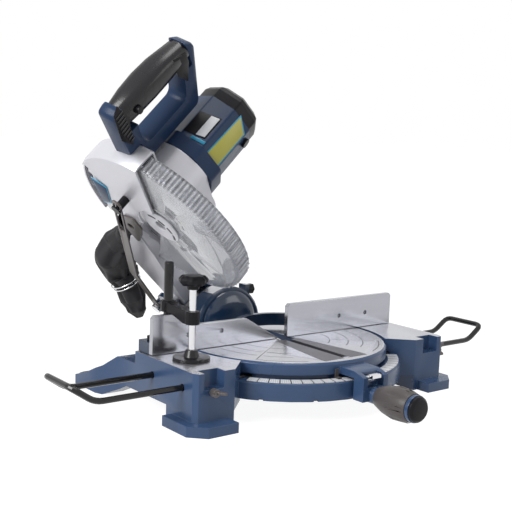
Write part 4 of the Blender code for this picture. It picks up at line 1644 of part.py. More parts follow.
def make_handle(head):
    """The D-handle: a frame, its rubber grip, the trigger and the lock-off button."""
    matrix = handle_matrix()
    outer = softened([(HANDLE_LEFT, -HANDLE_DEPTH), (HANDLE_LEFT, HANDLE_TOP - HANDLE_TOP_DROP / 3),
                      (HANDLE_LEFT + HANDLE_EDGE, HANDLE_TOP),
                      (HANDLE_GRIP_END, HANDLE_TOP - HANDLE_TOP_DROP / 2),
                      (HANDLE_RIGHT, HANDLE_TOP - HANDLE_TOP_DROP * 3 / 2),
                      (HANDLE_RIGHT_LOW, -HANDLE_DEPTH)], HANDLE_EDGE, 4)
    inner = softened([(HANDLE_HOLE_LEFT, -HANDLE_HOLE_BOTTOM), (HANDLE_HOLE_LEFT, -HANDLE_HOLE_TOP),
                      (HANDLE_HOLE_RIGHT, -HANDLE_HOLE_TOP), (HANDLE_HOLE_RIGHT - HANDLE_EDGE,
                       -HANDLE_HOLE_BOTTOM)], HANDLE_EDGE, 4)
    half = HANDLE_HALF
    frame = prism(outer, -half, half, "Y")
    opening = prism(inner, -half - OVERRUN, half + OVERRUN, "Y")
    trim = [edge for edge in frame.edges if abs(edge.verts[0].co.y - edge.verts[1].co.y) < MERGE_DISTANCE]
    bmesh.ops.bevel(frame, geom=trim, offset=half / 3, segments=2, profile=0.5, affect="EDGES",
                    material=-1)
    grip_room = box((HANDLE_HOLE_LEFT - HANDLE_EDGE, HANDLE_GRIP_END),
                    (-half - OVERRUN, half + OVERRUN), (-HANDLE_HOLE_TOP - OVERRUN, HANDLE_TOP + OVERRUN))
    core = box((HANDLE_HOLE_LEFT - HANDLE_EDGE - OVERRUN, HANDLE_GRIP_END + OVERRUN),
               (-half / 2, half / 2), (-HANDLE_HOLE_TOP / 2, HANDLE_TOP / 2))
    slot_gap = TRIGGER_SLOT_GAP
    well_half = TRIGGER_HALF + SEAT_GAP
    well = box((TRIGGER_LEFT - slot_gap, TRIGGER_RIGHT + slot_gap), (-well_half, well_half),
               (-HANDLE_HOLE_TOP - OVERRUN * 2, -HANDLE_HOLE_TOP + TRIGGER_OUT + TRIGGER_IN))
    button_well = disc(LOCK_BUTTON_RADIUS + RUNNING_GAP / 2, -half - OVERRUN * 2, -half + LOCK_BUTTON_IN
                       + OVERRUN, SMALL_STEPS, "Y", (LOCK_BUTTON_X, 0, 0))
    body = cut(cut(frame, opening), grip_room)
    body = cut(fused(body, core), well, button_well)
    body = placed(body, matrix)
    clearance = prism(housing_line(-SEAT_GAP), HOUSING_START - OVERRUN, HOUSING_END + SEAT_GAP, "X")
    band = prism(about_motor(octagon(FLANGE_BAND_RADIUS, MOTOR_FACET * 2, 3)), HOUSING_END,
                 FLANGE_BAND_END + SEAT_GAP, "X")
    clear = (UPPER_RADIUS + SEAT_GAP) / math.cos(math.pi / FINE_STEPS)
    guard = disc(clear, -UPPER_HALF_WIDTH - OVERRUN, UPPER_HALF_WIDTH + SEAT_GAP,
                 FINE_STEPS, "X")
    piece("handle_frame", cut(body, clearance, band, guard), "blue", head)
    swell = GRIP_SWELL
    length = HANDLE_GRIP_END - (HANDLE_HOLE_LEFT - HANDLE_EDGE)
    start = HANDLE_HOLE_LEFT - HANDLE_EDGE + SEAT_GAP
    hoops = []
    for along, grow, drop in GRIP_SHARES:
        x = start + (length - 2 * SEAT_GAP) * along
        wide = half + swell * grow
        top = HANDLE_TOP - HANDLE_TOP_DROP * drop + swell * grow
        low = HANDLE_HOLE_TOP - OVERRUN / 6
        hoop = softened([(-wide, -low), (wide, -low), (wide, top), (-wide, top)],
                        half * GRIP_CORNER_SHARE, 3)
        hoops.append([(x, y, z) for y, z in hoop])
    grip = lofted(hoops)
    gap = SEAT_GAP
    hollow = box((start - OVERRUN, start + length + OVERRUN), (-half / 2 - gap, half / 2 + gap),
                 (-HANDLE_HOLE_TOP / 2 - gap, HANDLE_TOP / 2 + gap))
    well = box((TRIGGER_LEFT - slot_gap, TRIGGER_RIGHT + slot_gap), (-well_half, well_half),
               (-HANDLE_HOLE_TOP - OVERRUN * 2, -HANDLE_HOLE_TOP / 4))
    button_well = disc(LOCK_BUTTON_RADIUS + RUNNING_GAP / 2, -half - OVERRUN * 2, 0, SMALL_STEPS, "Y",
                       (LOCK_BUTTON_X, 0, 0))
    piece("handle_grip", placed(cut(grip, hollow, well, button_well), matrix), "rubber", head)
    trigger_axis = guide("trigger_axis", head)
    trigger_axis.matrix_local = matrix @ Matrix.Translation((TRIGGER_RIGHT - TRIGGER_IN / 2, 0,
                                                             -HANDLE_HOLE_TOP + TRIGGER_IN / 2))
    reach = TRIGGER_RIGHT - TRIGGER_LEFT
    trigger_line = [(TRIGGER_IN / 2, TRIGGER_IN / 4), (TRIGGER_IN / 2, -TRIGGER_OUT / 2)]
    trigger_line += [(-reach * along, -TRIGGER_OUT * out) for along, out in TRIGGER_TOE_SHARES]
    trigger_line += [(-reach + TRIGGER_IN / 2, -TRIGGER_OUT * TRIGGER_TIP_SHARE),
                     (-reach + TRIGGER_IN / 2, 0), (-reach / 2, TRIGGER_IN / 4)]
    piece("trigger", prism(trigger_line, -TRIGGER_HALF, TRIGGER_HALF, "Y"), "black", trigger_axis)
    button_axis = guide("lock_button_axis", head)
    button_axis.matrix_local = matrix @ Matrix.Translation((LOCK_BUTTON_X, -half, 0))
    button = disc(LOCK_BUTTON_RADIUS, -LOCK_BUTTON_OUT - swell, LOCK_BUTTON_IN - OVERRUN, SMALL_STEPS, "Y")
    piece("lock_off_button", button, "black", button_axis)


def make_spindle_lock(head):
    axis = guide("spindle_lock_axis", head)
    reach = HOUSING_LOW_RADIUS
    axis.matrix_local = spindle_lock_matrix() @ Matrix.Translation((SPINDLE_LOCK_X, 0, reach))
    button = disc(SPINDLE_LOCK_RADIUS, -SPINDLE_LOCK_IN, SPINDLE_LOCK_OUT, SMALL_STEPS)
    piece("spindle_lock_button", button, "black", axis)


# Dust collection
def make_dust_parts(head):
    """The chute and the bag that hangs from it, shaped as it hangs in the photographed pose."""
    inner = CHUTE_RADIUS - CHUTE_WALL
    end = CHUTE_START + CHUTE_LENGTH
    tube = ring(inner, CHUTE_RADIUS, CHUTE_START, end, SMALL_STEPS, "Y")
    sweep = disc(GUARD_RADIUS + GUARD_RIB_HEIGHT + RUNNING_GAP, -UPPER_HALF_WIDTH, UPPER_HALF_WIDTH,
                 FINE_STEPS, "X")
    piece("dust_chute", cut(placed(tube, chute_matrix()), sweep), "black", head)
    neck = chute_matrix() @ Vector((0, BAG_START, 0))
    path = [neck] + [neck + Vector(point[:3]) for point in BAG_PATH]
    radii = [CHUTE_RADIUS + CHUTE_WALL] + [point[3] for point in BAG_PATH]
    bag = swept(path, radii, 16)
    stub = placed(disc(CHUTE_RADIUS + SEAT_GAP, CHUTE_START, end + SEAT_GAP, SMALL_STEPS, "Y"),
                  chute_matrix())
    piece("dust_bag", cut(bag, stub), "fabric", head)


def make_head(bevel):
    """Everything that chops: castings, motor, handle, guards and blade."""
    chop = guide("chop_axis", bevel, (0, PIVOT_Y, PIVOT_Z))
    y, z = pivot_in_head()
    head = guide("head_frame", chop, (0, -y, -z))
    make_upper_guard(head)
    make_gear_housing(head)
    make_motor(head)
    make_handle(head)
    make_spindle_lock(head)
    make_dust_parts(head)
    make_lower_guard(guide("lower_guard_axis", head))
    spindle = guide("spindle_axis", head)
    armature = guide("armature_axis", head, (0, -MOTOR_FORWARD, MOTOR_UP))
    make_drive(spindle, armature, head)
    make_blade(spindle)


def centre_footprint(root):
    """Moves the assembly so that its box stands centred on the origin."""
    bpy.context.view_layer.update()
    corners = [item.matrix_world @ Vector(corner) for item in bpy.data.objects
               if item.type == "MESH" for corner in item.bound_box]
    low = [min(corner[axis] for corner in corners) for axis in range(3)]
    high = [max(corner[axis] for corner in corners) for axis in range(3)]
    root.location = (-(low[0] + high[0]) / 2, -(low[1] + high[1]) / 2, 0)
    bpy.context.view_layer.update()


def report_axes():
    for item in bpy.data.objects:
        if item.type == "EMPTY":
            place = item.matrix_world.translation
            across = item.matrix_world.col[0].xyz
            print("axis", item.name, [round(value, 5) for value in place],
                  [round(value, 5) for value in across])


def main():
    for old in list(bpy.data.objects):
        bpy.data.objects.remove(old)
    root = guide("mitre_saw", None)
    make_base(root)
    make_pivot_bolt(root)
    make_scale(root)
    make_support_bar(root)
    make_fence(root)
    make_clamp(root)
    make_extension_bars(root)
    make_wing_bolts(root)
    mitre = guide("mitre_axis", root)
    make_turntable(mitre)
    make_table_parts(mitre)
    make_mitre_handle(mitre)
    make_latch(mitre)
    bevel = guide("bevel_axis", mitre, (0, 0, TABLE_HEIGHT), BEVEL_AT_REST)
    make_bevel_arm(bevel)
    make_return_spring(bevel)
    make_lock_pin(bevel)
    make_link(bevel)
    make_head(bevel)
    centre_footprint(root)
    report_axes()


FINISHES = make_finishes()
main()
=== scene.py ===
# %% [markdown]
# A compound mitre saw, dressed for its photograph.
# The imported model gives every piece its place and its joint, so this lesson only adds
# what the eye needs: finishes, soft edges, fine detail, the cloth bag, light and camera.
# Everything is in metres, and each new piece rides on the body that carries it.

# %% Load the frame
import json
import math

import bmesh
import bpy
from mathutils import Matrix, Vector


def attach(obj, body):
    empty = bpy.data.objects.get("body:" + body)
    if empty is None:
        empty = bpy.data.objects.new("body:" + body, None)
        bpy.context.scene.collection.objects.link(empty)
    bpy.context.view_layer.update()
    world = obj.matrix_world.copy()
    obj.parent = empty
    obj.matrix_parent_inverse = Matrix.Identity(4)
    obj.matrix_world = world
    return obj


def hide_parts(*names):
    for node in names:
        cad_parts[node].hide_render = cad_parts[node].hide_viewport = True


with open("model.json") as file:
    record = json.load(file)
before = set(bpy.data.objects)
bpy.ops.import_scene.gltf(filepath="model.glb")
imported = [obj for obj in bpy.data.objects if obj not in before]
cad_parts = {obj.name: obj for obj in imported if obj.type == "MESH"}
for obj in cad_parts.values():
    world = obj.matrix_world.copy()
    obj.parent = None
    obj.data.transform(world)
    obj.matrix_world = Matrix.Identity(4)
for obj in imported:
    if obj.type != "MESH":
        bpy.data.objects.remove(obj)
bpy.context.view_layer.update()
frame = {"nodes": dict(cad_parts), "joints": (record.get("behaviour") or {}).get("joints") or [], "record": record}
nodes = frame["nodes"]
record = frame["record"]
joints = {joint["name"]: joint for joint in frame["joints"]}
slots = {part["node"]: part["material_slot"] for part in record["subparts"]}
bodies = {name: body for body, names in record["behaviour"]["bodies"].items() for name in names}

# %% [markdown]
# The head hangs in the photograph 45 degrees to the left, so its details are easier to
# place in its own directions: across the blade, back, and up in the blade's plane.
# The blade's joint gives the centre and the axis, which is safer than typing them in.
# The handle leans in that plane, and the motor lies across it.

# %% Directions of the head, the handle and the motor
HANDLE_PLACE = (0, -0.072, 0.194)
HANDLE_LEAN = math.radians(29)
MOTOR_PLACE = (0, -0.020, 0.046)

table_axis = Vector(joints["mitre_swing"]["pos_m"])
TABLE_TOP = table_axis.z
blade_centre = Vector(joints["blade_spin"]["pos_m"])
across = Vector(joints["blade_spin"]["axis"]).normalized()
backward = Vector((0, 1, 0))
upward = across.cross(backward)
HEAD = Matrix.Translation(blade_centre) @ Matrix((across, backward, upward)).transposed().to_4x4()
HANDLE = HEAD @ Matrix.Translation(HANDLE_PLACE) @ Matrix.Rotation(HANDLE_LEAN, 4, "X")
MOTOR = HEAD @ Matrix.Translation(MOTOR_PLACE)
print("blade centre", [round(value, 4) for value in blade_centre])

# %% [markdown]
# The camera looks from where the photograph was taken. Its place, turn and lens were
# found by fitting the round table, the fence and the blade guard to the picture. A camera
# can be aimed with a tracking constraint, but a matrix keeps the small roll as well.

# %% Camera
YAW, PITCH, ROLL = (math.radians(angle) for angle in (38.03, 7.67, 1.93))
CAMERA_LEFT, CAMERA_FRONT, CAMERA_HEIGHT = 0.9482, 1.1378, 0.4128
FOCAL_PIXELS, IMAGE_PIXELS, SENSOR_WIDTH = 948.55, 512, 36
NEAREST, FURTHEST = 0.05, 60

view = Vector((math.sin(YAW) * math.cos(PITCH), math.cos(YAW) * math.cos(PITCH), -math.sin(PITCH)))
side = Vector((math.cos(YAW), -math.sin(YAW), 0))
rise = side.cross(view)
side_rolled = side * math.cos(ROLL) + rise * math.sin(ROLL)
rise_rolled = rise * math.cos(ROLL) - side * math.sin(ROLL)
turn = Matrix((side_rolled, rise_rolled, -view)).transposed().to_4x4()
stand = (table_axis.x - CAMERA_LEFT, table_axis.y - CAMERA_FRONT, CAMERA_HEIGHT)
lens = bpy.data.cameras.new("photo_camera")
lens.sensor_width = SENSOR_WIDTH
lens.lens = SENSOR_WIDTH * FOCAL_PIXELS / IMAGE_PIXELS
lens.clip_start = NEAREST
lens.clip_end = FURTHEST
camera = bpy.data.objects.new("photo_camera", lens)
camera.matrix_world = Matrix.Translation(stand) @ turn
scene = bpy.context.scene
scene.collection.objects.link(camera)
scene.camera = camera
print("lens", round(lens.lens, 1), "mm")

# %% [markdown]
# Node trees are long to write out one socket at a time. These helpers add a node with its
# values, do arithmetic, mix two colours and lay a colour or a relief over a finish that
# is there already, so each finish below reads as a few plain steps.

# %% Node helpers
FACTOR, FIRST_COLOUR, SECOND_COLOUR, MIXED = 0, 6, 7, 2


def add(tree, kind, **inputs):
    """A node with some of its inputs set."""
    made = tree.nodes.new(kind)
    for name, value in inputs.items():
        made.inputs[name.replace("_", " ")].default_value = value
    return made


def math_node(tree, operation, *values):
    """A Math node. Each value is a number or a socket."""
    made = tree.nodes.new("ShaderNodeMath")
    made.operation = operation
    for index, value in enumerate(values):
        if isinstance(value, (int, float)):
            made.inputs[index].default_value = value
        else:
            tree.links.new(value, made.inputs[index])
    return made.outputs[0]


def colour_mix(tree, share, first, second):
    """A colour mix. Each colour is a tuple of three numbers or a socket."""
    mix = tree.nodes.new("ShaderNodeMix")
    mix.data_type = "RGBA"
    tree.links.new(share, mix.inputs[FACTOR])
    for index, colour in ((FIRST_COLOUR, first), (SECOND_COLOUR, second)):
        if isinstance(colour, tuple):
            mix.inputs[index].default_value = (*colour, 1)
        else:
            tree.links.new(colour, mix.inputs[index])
    return mix.outputs[MIXED]


def shader_of(material):
    return material.node_tree.nodes["Principled BSDF"]


def new_finish(name):
    """An empty node material, its tree and its shader."""
    material = bpy.data.materials.new(name)
    material.use_nodes = True
    return material, material.node_tree, shader_of(material)


def paint_over(material, mask, colour):
    """Lays a colour over the base colour where the mask is 1."""
    base = shader_of(material).inputs["Base Color"]
    below = base.links[0].from_socket if base.links else tuple(base.default_value[:3])
    tree = material.node_tree
    tree.links.new(colour_mix(tree, mask, below, colour), base)


def press_in(material, height, strength, distance):
    """Adds a relief over the fine one that the finish has."""
    tree = material.node_tree
    normal = shader_of(material).inputs["Normal"]
    relief = add(tree, "ShaderNodeBump", Strength=strength, Distance=distance)
    tree.links.new(height, relief.inputs["Height"])
    tree.links.new(normal.links[0].from_socket, relief.inputs["Normal"])
    tree.links.new(relief.outputs["Normal"], normal)


def position(tree):
    return tree.nodes.new("ShaderNodeTexCoord").outputs["Object"]


def split(tree, vector):
    parts = tree.nodes.new("ShaderNodeSeparateXYZ")
    tree.links.new(vector, parts.inputs[0])
    return parts.outputs


def reach_along(tree, origin, *axes):
    """How far each point lies from an origin, along some directions."""
    moved = tree.nodes.new("ShaderNodeVectorMath")
    moved.operation = "SUBTRACT"
    moved.inputs[1].default_value = origin
    tree.links.new(position(tree), moved.inputs[0])
    reaches = []
    for axis in axes:
        part = tree.nodes.new("ShaderNodeVectorMath")
        part.operation = "DOT_PRODUCT"
        part.inputs[1].default_value = axis
        tree.links.new(moved.outputs["Vector"], part.inputs[0])
        reaches.append(part.outputs["Value"])
    return reaches


def distance_of(tree, first, second):
    squares = (math_node(tree, "MULTIPLY", first, first), math_node(tree, "MULTIPLY", second, second))
    return math_node(tree, "SQRT", math_node(tree, "ADD", *squares))


def either(tree, masks):
    """1 where any of the masks is 1."""
    joined = masks[0]
    for mask in masks[1:]:
        joined = math_node(tree, "MAXIMUM", joined, mask)
    return joined


print("helpers ready")

# %% [markdown]
# The saw stands on a plain pale floor in a white room that its metal can mirror. Stronger
# lamps would whiten the background too, but they would also bleach the object. So the
# room and the floor read as white only to the camera's rays and to those that mirrors and
# clear plastic send on, and the floor keeps the saw's shadow.

# %% Room and floor
ROOM_LIGHT, ROOM_SEEN = 0.30, 1.0
FLOOR_LIT, FLOOR_SEEN, FLOOR_GLOW = 0.85, 0.22, 0.92
FLOOR_ROUGHNESS, FLOOR_GLOSS, FLOOR_HALF = 0.9, 0.1, 20
WHITE = (1, 1, 1, 1)


def ray_white(tree):
    """1 for camera, mirror and glass rays, 0 for the rays that light the object."""
    path = tree.nodes.new("ShaderNodeLightPath").outputs
    seen = math_node(tree, "MAXIMUM", path["Is Camera Ray"], path["Is Glossy Ray"])
    return math_node(tree, "MAXIMUM", seen, path["Is Transmission Ray"])


scene.view_settings.view_transform = "Standard"
world = bpy.data.worlds.new("studio")
scene.world = world
world.use_nodes = True
sky = world.node_tree
background = sky.nodes["Background"]
background.inputs["Color"].default_value = WHITE
level = add(sky, "ShaderNodeMapRange", To_Min=ROOM_LIGHT, To_Max=ROOM_SEEN)
sky.links.new(ray_white(sky), level.inputs["Value"])
sky.links.new(level.outputs["Result"], background.inputs["Strength"])

floor_finish, tree, shader = new_finish("studio_floor")
shader.inputs["Roughness"].default_value = FLOOR_ROUGHNESS
shader.inputs["Specular IOR Level"].default_value = FLOOR_GLOSS
shader.inputs["Emission Color"].default_value = WHITE
seen = ray_white(tree)
tree.links.new(colour_mix(tree, seen, (FLOOR_LIT,) * 3, (FLOOR_SEEN,) * 3), shader.inputs["Base Color"])
tree.links.new(math_node(tree, "MULTIPLY", seen, FLOOR_GLOW), shader.inputs["Emission Strength"])
shape = bmesh.new()
bmesh.ops.create_grid(shape, x_segments=1, y_segments=1, size=FLOOR_HALF)
floor_mesh = bpy.data.meshes.new("studio_floor")
shape.to_mesh(floor_mesh)
shape.free()
floor = bpy.data.objects.new("studio_floor", floor_mesh)
floor_mesh.materials.append(floor_finish)
scene.collection.objects.link(floor)
print("floor", floor.name)

# %% [markdown]
# Three soft lamps light the saw: a broad one from the upper left, which brightens the
# left faces as in the photograph, one above, and a weak one from the right. Spot lamps
# would give harder shadows than a studio's cloth-covered ones, so these are wide squares.

# %% Lamps
def lamp(name, place, size, power, target=(0, 0, 0.2)):
    """A square lamp that faces a target."""
    light = bpy.data.lights.new(name, "AREA")
    light.shape = "SQUARE"
    light.size = size
    light.energy = power
    item = bpy.data.objects.new(name, light)
    aim = (Vector(target) - Vector(place)).to_track_quat("-Z", "Y")
    item.matrix_world = Matrix.Translation(place) @ aim.to_matrix().to_4x4()
    scene.collection.objects.link(item)


lamp("key_left", (-2.3, -0.2, 1.7), 1.2, 62)
lamp("top", (0.1, -0.3, 2.4), 1.0, 18)
lamp("fill_right", (1.6, -2.0, 0.9), 1.0, 7)

# %% [markdown]
# Finishes. Real paint, plastic and metal are never one flat colour. Two shared node
# groups give the fine surface: `grain` for paint, moulded plastic and cloth, and `brushed`
# for machined metal. A group is built once and each finish feeds it its own scale, so a
# change to it reaches them all.

# %% Shared surface groups
LINES_SHARE = 0.55


def new_group(name, inputs, outputs):
    """An empty shader group with named inputs and outputs."""
    group = bpy.data.node_groups.new(name, "ShaderNodeTree")
    for label, value in inputs.items():
        kind = "NodeSocketVector" if isinstance(value, tuple) else "NodeSocketFloat"
        group.interface.new_socket(label, in_out="INPUT", socket_type=kind).default_value = value
    for label in outputs:
        group.interface.new_socket(label, in_out="OUTPUT", socket_type="NodeSocketFloat")
    return group, group.nodes.new("NodeGroupInput"), group.nodes.new("NodeGroupOutput")


grain, given, result = new_group("grain", {"Scale": 900.0, "Patch": 14.0}, ("Tone", "Height"))
fine = add(grain, "ShaderNodeTexNoise", Detail=2.0, Roughness=0.5)
broad = add(grain, "ShaderNodeTexNoise", Detail=4.0, Roughness=0.6)
place = position(grain)
for noise, scale, output in ((fine, "Scale", "Height"), (broad, "Patch", "Tone")):
    grain.links.new(place, noise.inputs["Vector"])
    grain.links.new(given.outputs[scale], noise.inputs["Scale"])
    grain.links.new(noise.outputs["Fac"], result.inputs[output])

brushed, given, result = new_group("brushed", {"Along": (4.0, 300.0, 900.0), "Patch": 9.0},
                                   ("Tone", "Height"))
place = position(brushed)
stretch = brushed.nodes.new("ShaderNodeVectorMath")
stretch.operation = "MULTIPLY"
lines = add(brushed, "ShaderNodeTexNoise", Scale=1.0, Detail=3.0, Roughness=0.6)
broad = add(brushed, "ShaderNodeTexNoise", Detail=2.0)
blend = add(brushed, "ShaderNodeMix", Factor=LINES_SHARE)
brushed.links.new(place, stretch.inputs[0])
brushed.links.new(given.outputs["Along"], stretch.inputs[1])
brushed.links.new(stretch.outputs["Vector"], lines.inputs["Vector"])
brushed.links.new(place, broad.inputs["Vector"])
brushed.links.new(given.outputs["Patch"], broad.inputs["Scale"])
brushed.links.new(broad.outputs["Fac"], blend.inputs["A"])
brushed.links.new(lines.outputs["Fac"], blend.inputs["B"])
brushed.links.new(blend.outputs["Result"], result.inputs["Tone"])
brushed.links.new(lines.outputs["Fac"], result.inputs["Height"])
print("groups", [group.name for group in bpy.data.node_groups])

# %% [markdown]
# One function makes nearly all finishes. The group's broad patches shift the colour and
# the roughness a little, and its fine pattern becomes a shallow bump. Numbers that are
# the same all over, such as the coat, are set on the shader itself.

# %% One surface function
ROUGHNESS_SWING = 0.18


def tones(colour, spread):
    """A darker and a lighter version of a colour."""
    dark = tuple(channel * (1 - spread) for channel in colour)
    light = tuple(min(1.0, channel * (1 + spread)) for channel in colour)
    return dark, light


def surface(name, colour, roughness, metallic=0.0, spread=0.12, bump=0.15, depth=0.0002,
            group=grain, coat=0.0, gloss=0.5, **sizes):
    """A material whose tone, roughness and bump come from a shared group."""
    material, tree, shader = new_finish(name)
    shader.inputs["Metallic"].default_value = metallic
    shader.inputs["Coat Weight"].default_value = coat
    shader.inputs["Specular IOR Level"].default_value = gloss
    source = tree.nodes.new("ShaderNodeGroup")
    source.node_tree = group
    for label, value in sizes.items():
        source.inputs[label].default_value = value
    tone = source.outputs["Tone"]
    tree.links.new(colour_mix(tree, tone, *tones(colour, spread)), shader.inputs["Base Color"])
    rough = add(tree, "ShaderNodeMapRange", To_Min=roughness * (1 - ROUGHNESS_SWING),
                To_Max=roughness * (1 + ROUGHNESS_SWING))
    tree.links.new(tone, rough.inputs["Value"])
    tree.links.new(rough.outputs["Result"], shader.inputs["Roughness"])
    relief = add(tree, "ShaderNodeBump", Strength=bump, Distance=depth)
    tree.links.new(source.outputs["Height"], relief.inputs["Height"])
    tree.links.new(relief.outputs["Normal"], shader.inputs["Normal"])
    material.diffuse_color = (*colour, 1)
    return material


blue = surface("blue_paint", (0.033, 0.067, 0.146), 0.26, coat=0.12, gloss=0.35, Scale=700.0)
dark_blue = surface("dark_blue_plastic", (0.014, 0.032, 0.078), 0.34, gloss=0.17, Scale=1400.0, bump=0.3)
deep_blue = surface("deep_blue_paint", (0.009, 0.026, 0.062), 0.18, coat=0.35, gloss=0.4, Scale=500.0)
black = surface("black_plastic", (0.008, 0.008, 0.010), 0.32, gloss=0.15, Scale=1500.0, bump=0.35)
rubber = surface("black_rubber", (0.010, 0.009, 0.011), 0.24, gloss=0.34, Scale=900.0, bump=0.03)
wire_coat = surface("black_bar", (0.008, 0.008, 0.009), 0.20, coat=0.15, gloss=0.3, Scale=300.0)
taupe = surface("taupe_metal", (0.115, 0.102, 0.100), 0.34, metallic=0.35, gloss=0.3, Scale=900.0)
taupe_grip = surface("taupe_grip", (0.075, 0.066, 0.066), 0.42, gloss=0.3, Scale=1500.0, bump=0.4)
pearl = surface("pearl_casting", (0.56, 0.56, 0.60), 0.34, metallic=0.35, spread=0.06, Scale=1100.0,
                bump=0.25)
steel = surface("bright_steel", (0.66, 0.66, 0.68), 0.14, metallic=1.0, spread=0.05, group=brushed)
blade_steel = surface("blade_steel", (0.55, 0.55, 0.57), 0.26, metallic=1.0, group=brushed)
insert = surface("grey_insert", (0.060, 0.058, 0.066), 0.36, gloss=0.4, Scale=900.0)
copper = surface("copper_winding", (0.55, 0.25, 0.10), 0.35, metallic=0.9, group=brushed)
scale_white = surface("scale_white", (0.70, 0.71, 0.74), 0.35, spread=0.04)
cloth = surface("bag_cloth", (0.010, 0.010, 0.012), 0.55, gloss=0.35, Scale=1600.0, bump=0.8, spread=0.4)
cyan = surface("panel_cyan", (0.012, 0.26, 0.44), 0.30, spread=0.04, Scale=600.0)
panel_white = surface("panel_white", (0.66, 0.67, 0.70), 0.34, spread=0.05, Scale=600.0)
lime = surface("panel_lime", (0.40, 0.375, 0.060), 0.34, spread=0.08, Scale=600.0)
print("finishes", len(bpy.data.materials))

# %% [markdown]
# The guard round the blade is clear moulded plastic with close ribs round its rim. Full
# glass would turn it into a lens, so it is only partly clear and bends light little. The
# ribs are too fine to cut into the solid, so past the radius where the rim starts a wave
# round the blade's axis presses them in and darkens them in bands: painted shade for the
# light and dark that real ribs would show.

# %% Clear plastic with a ribbed rim
CLEAR_TINT = (0.86, 0.87, 0.90)
CLEAR_ROUGH_LEAST, CLEAR_ROUGH_MOST = 0.042, 0.112
CLEARNESS, CLEAR_BENDING, CLEAR_GLOSS, CLEAR_COAT = 0.74, 1.12, 0.9, 0.6
RIPPLE_SCALE, RIPPLE_STRENGTH, RIPPLE_DEPTH = 160.0, 0.12, 0.0006
RIM_START, RIM_RIBS_PER_RADIAN = 0.1335, 130
# The first rib number is the grey of a painted shade, not a tint of the plastic; the others shape the bump.
RIB_PAINTED_SHADE, RIB_STRENGTH, RIB_DEPTH = (0.40, 0.41, 0.45), 0.8, 0.0012

clear, tree, shader = new_finish("clear_guard")
for label, value in (("Base Color", (*CLEAR_TINT, 1)), ("Transmission Weight", CLEARNESS),
                     ("IOR", CLEAR_BENDING), ("Specular IOR Level", CLEAR_GLOSS),
                     ("Coat Weight", CLEAR_COAT)):
    shader.inputs[label].default_value = value
source = tree.nodes.new("ShaderNodeGroup")
source.node_tree = grain
source.inputs["Scale"].default_value = RIPPLE_SCALE
rough = add(tree, "ShaderNodeMapRange", To_Min=CLEAR_ROUGH_LEAST, To_Max=CLEAR_ROUGH_MOST)
relief = add(tree, "ShaderNodeBump", Strength=RIPPLE_STRENGTH, Distance=RIPPLE_DEPTH)
tree.links.new(source.outputs["Tone"], rough.inputs["Value"])
tree.links.new(rough.outputs["Result"], shader.inputs["Roughness"])
tree.links.new(source.outputs["Height"], relief.inputs["Height"])
tree.links.new(relief.outputs["Normal"], shader.inputs["Normal"])
clear.diffuse_color = (*CLEAR_TINT, 1)

back, up = reach_along(tree, blade_centre, backward, upward)
on_rim = math_node(tree, "GREATER_THAN", distance_of(tree, back, up), RIM_START)
turns = math_node(tree, "MULTIPLY", math_node(tree, "ARCTAN2", up, back), RIM_RIBS_PER_RADIAN)
wave = math_node(tree, "MULTIPLY_ADD", math_node(tree, "SINE", turns), 0.5, 0.5)
ribs = math_node(tree, "MULTIPLY", wave, on_rim)
# The grey bands laid over the clear tint here are painted shade on the ribs.
paint_over(clear, ribs, RIB_PAINTED_SHADE)
press_in(clear, ribs, RIB_STRENGTH, RIB_DEPTH)
print("clear plastic", clear.name)

# %% [markdown]
# The castings are painted and then machined where work lies on them. Two materials with
# painted face sets would do, but one material with a mask follows any change of shape:
# the mask picks faces that look up at table height, or the front of the fence, and
# swaps paint for bare metal.

# %% Paint with machined faces
METAL_SPREAD, METAL_SHARE = 0.16, 0.9
TABLE_METAL, FENCE_METAL = (0.50, 0.505, 0.54), (0.39, 0.395, 0.43)
TOP_MARGIN, LOOKS_UP = 0.0006, 0.85
FENCE_FRONT = table_axis.y + 0.0083


def machined(name, paint, mask_of, metal):
    """A paint whose masked faces are bare metal, and the mask."""
    material = paint.copy()
    material.name = name
    tree = material.node_tree
    shader = shader_of(material)
    facing = tree.nodes.new("ShaderNodeNewGeometry").outputs["Normal"]
    mask = mask_of(tree, split(tree, position(tree)), split(tree, facing))
    source = tree.nodes.new("ShaderNodeGroup")
    source.node_tree = brushed
    paint_over(material, mask, colour_mix(tree, source.outputs["Tone"], *tones(metal, METAL_SPREAD)))
    tree.links.new(math_node(tree, "MULTIPLY", mask, METAL_SHARE), shader.inputs["Metallic"])
    shader.inputs["Coat Weight"].default_value = 0.0
    return material, mask


def at_table_height(tree, where, facing):
    high = math_node(tree, "GREATER_THAN", where["Z"], TABLE_TOP - TOP_MARGIN)
    return math_node(tree, "MULTIPLY", high, math_node(tree, "GREATER_THAN", facing["Z"], LOOKS_UP))


def on_fence_front(tree, where, facing):
    return math_node(tree, "LESS_THAN", where["Y"], FENCE_FRONT)


base_finish = machined("base_paint", blue, at_table_height, TABLE_METAL)[0]
table_finish, table_mask = machined("turntable_paint", blue, at_table_height, TABLE_METAL)
fence_finish = machined("fence_paint", deep_blue, on_fence_front, FENCE_METAL)[0]
print("machined", base_finish.name, table_finish.name, fence_finish.name)
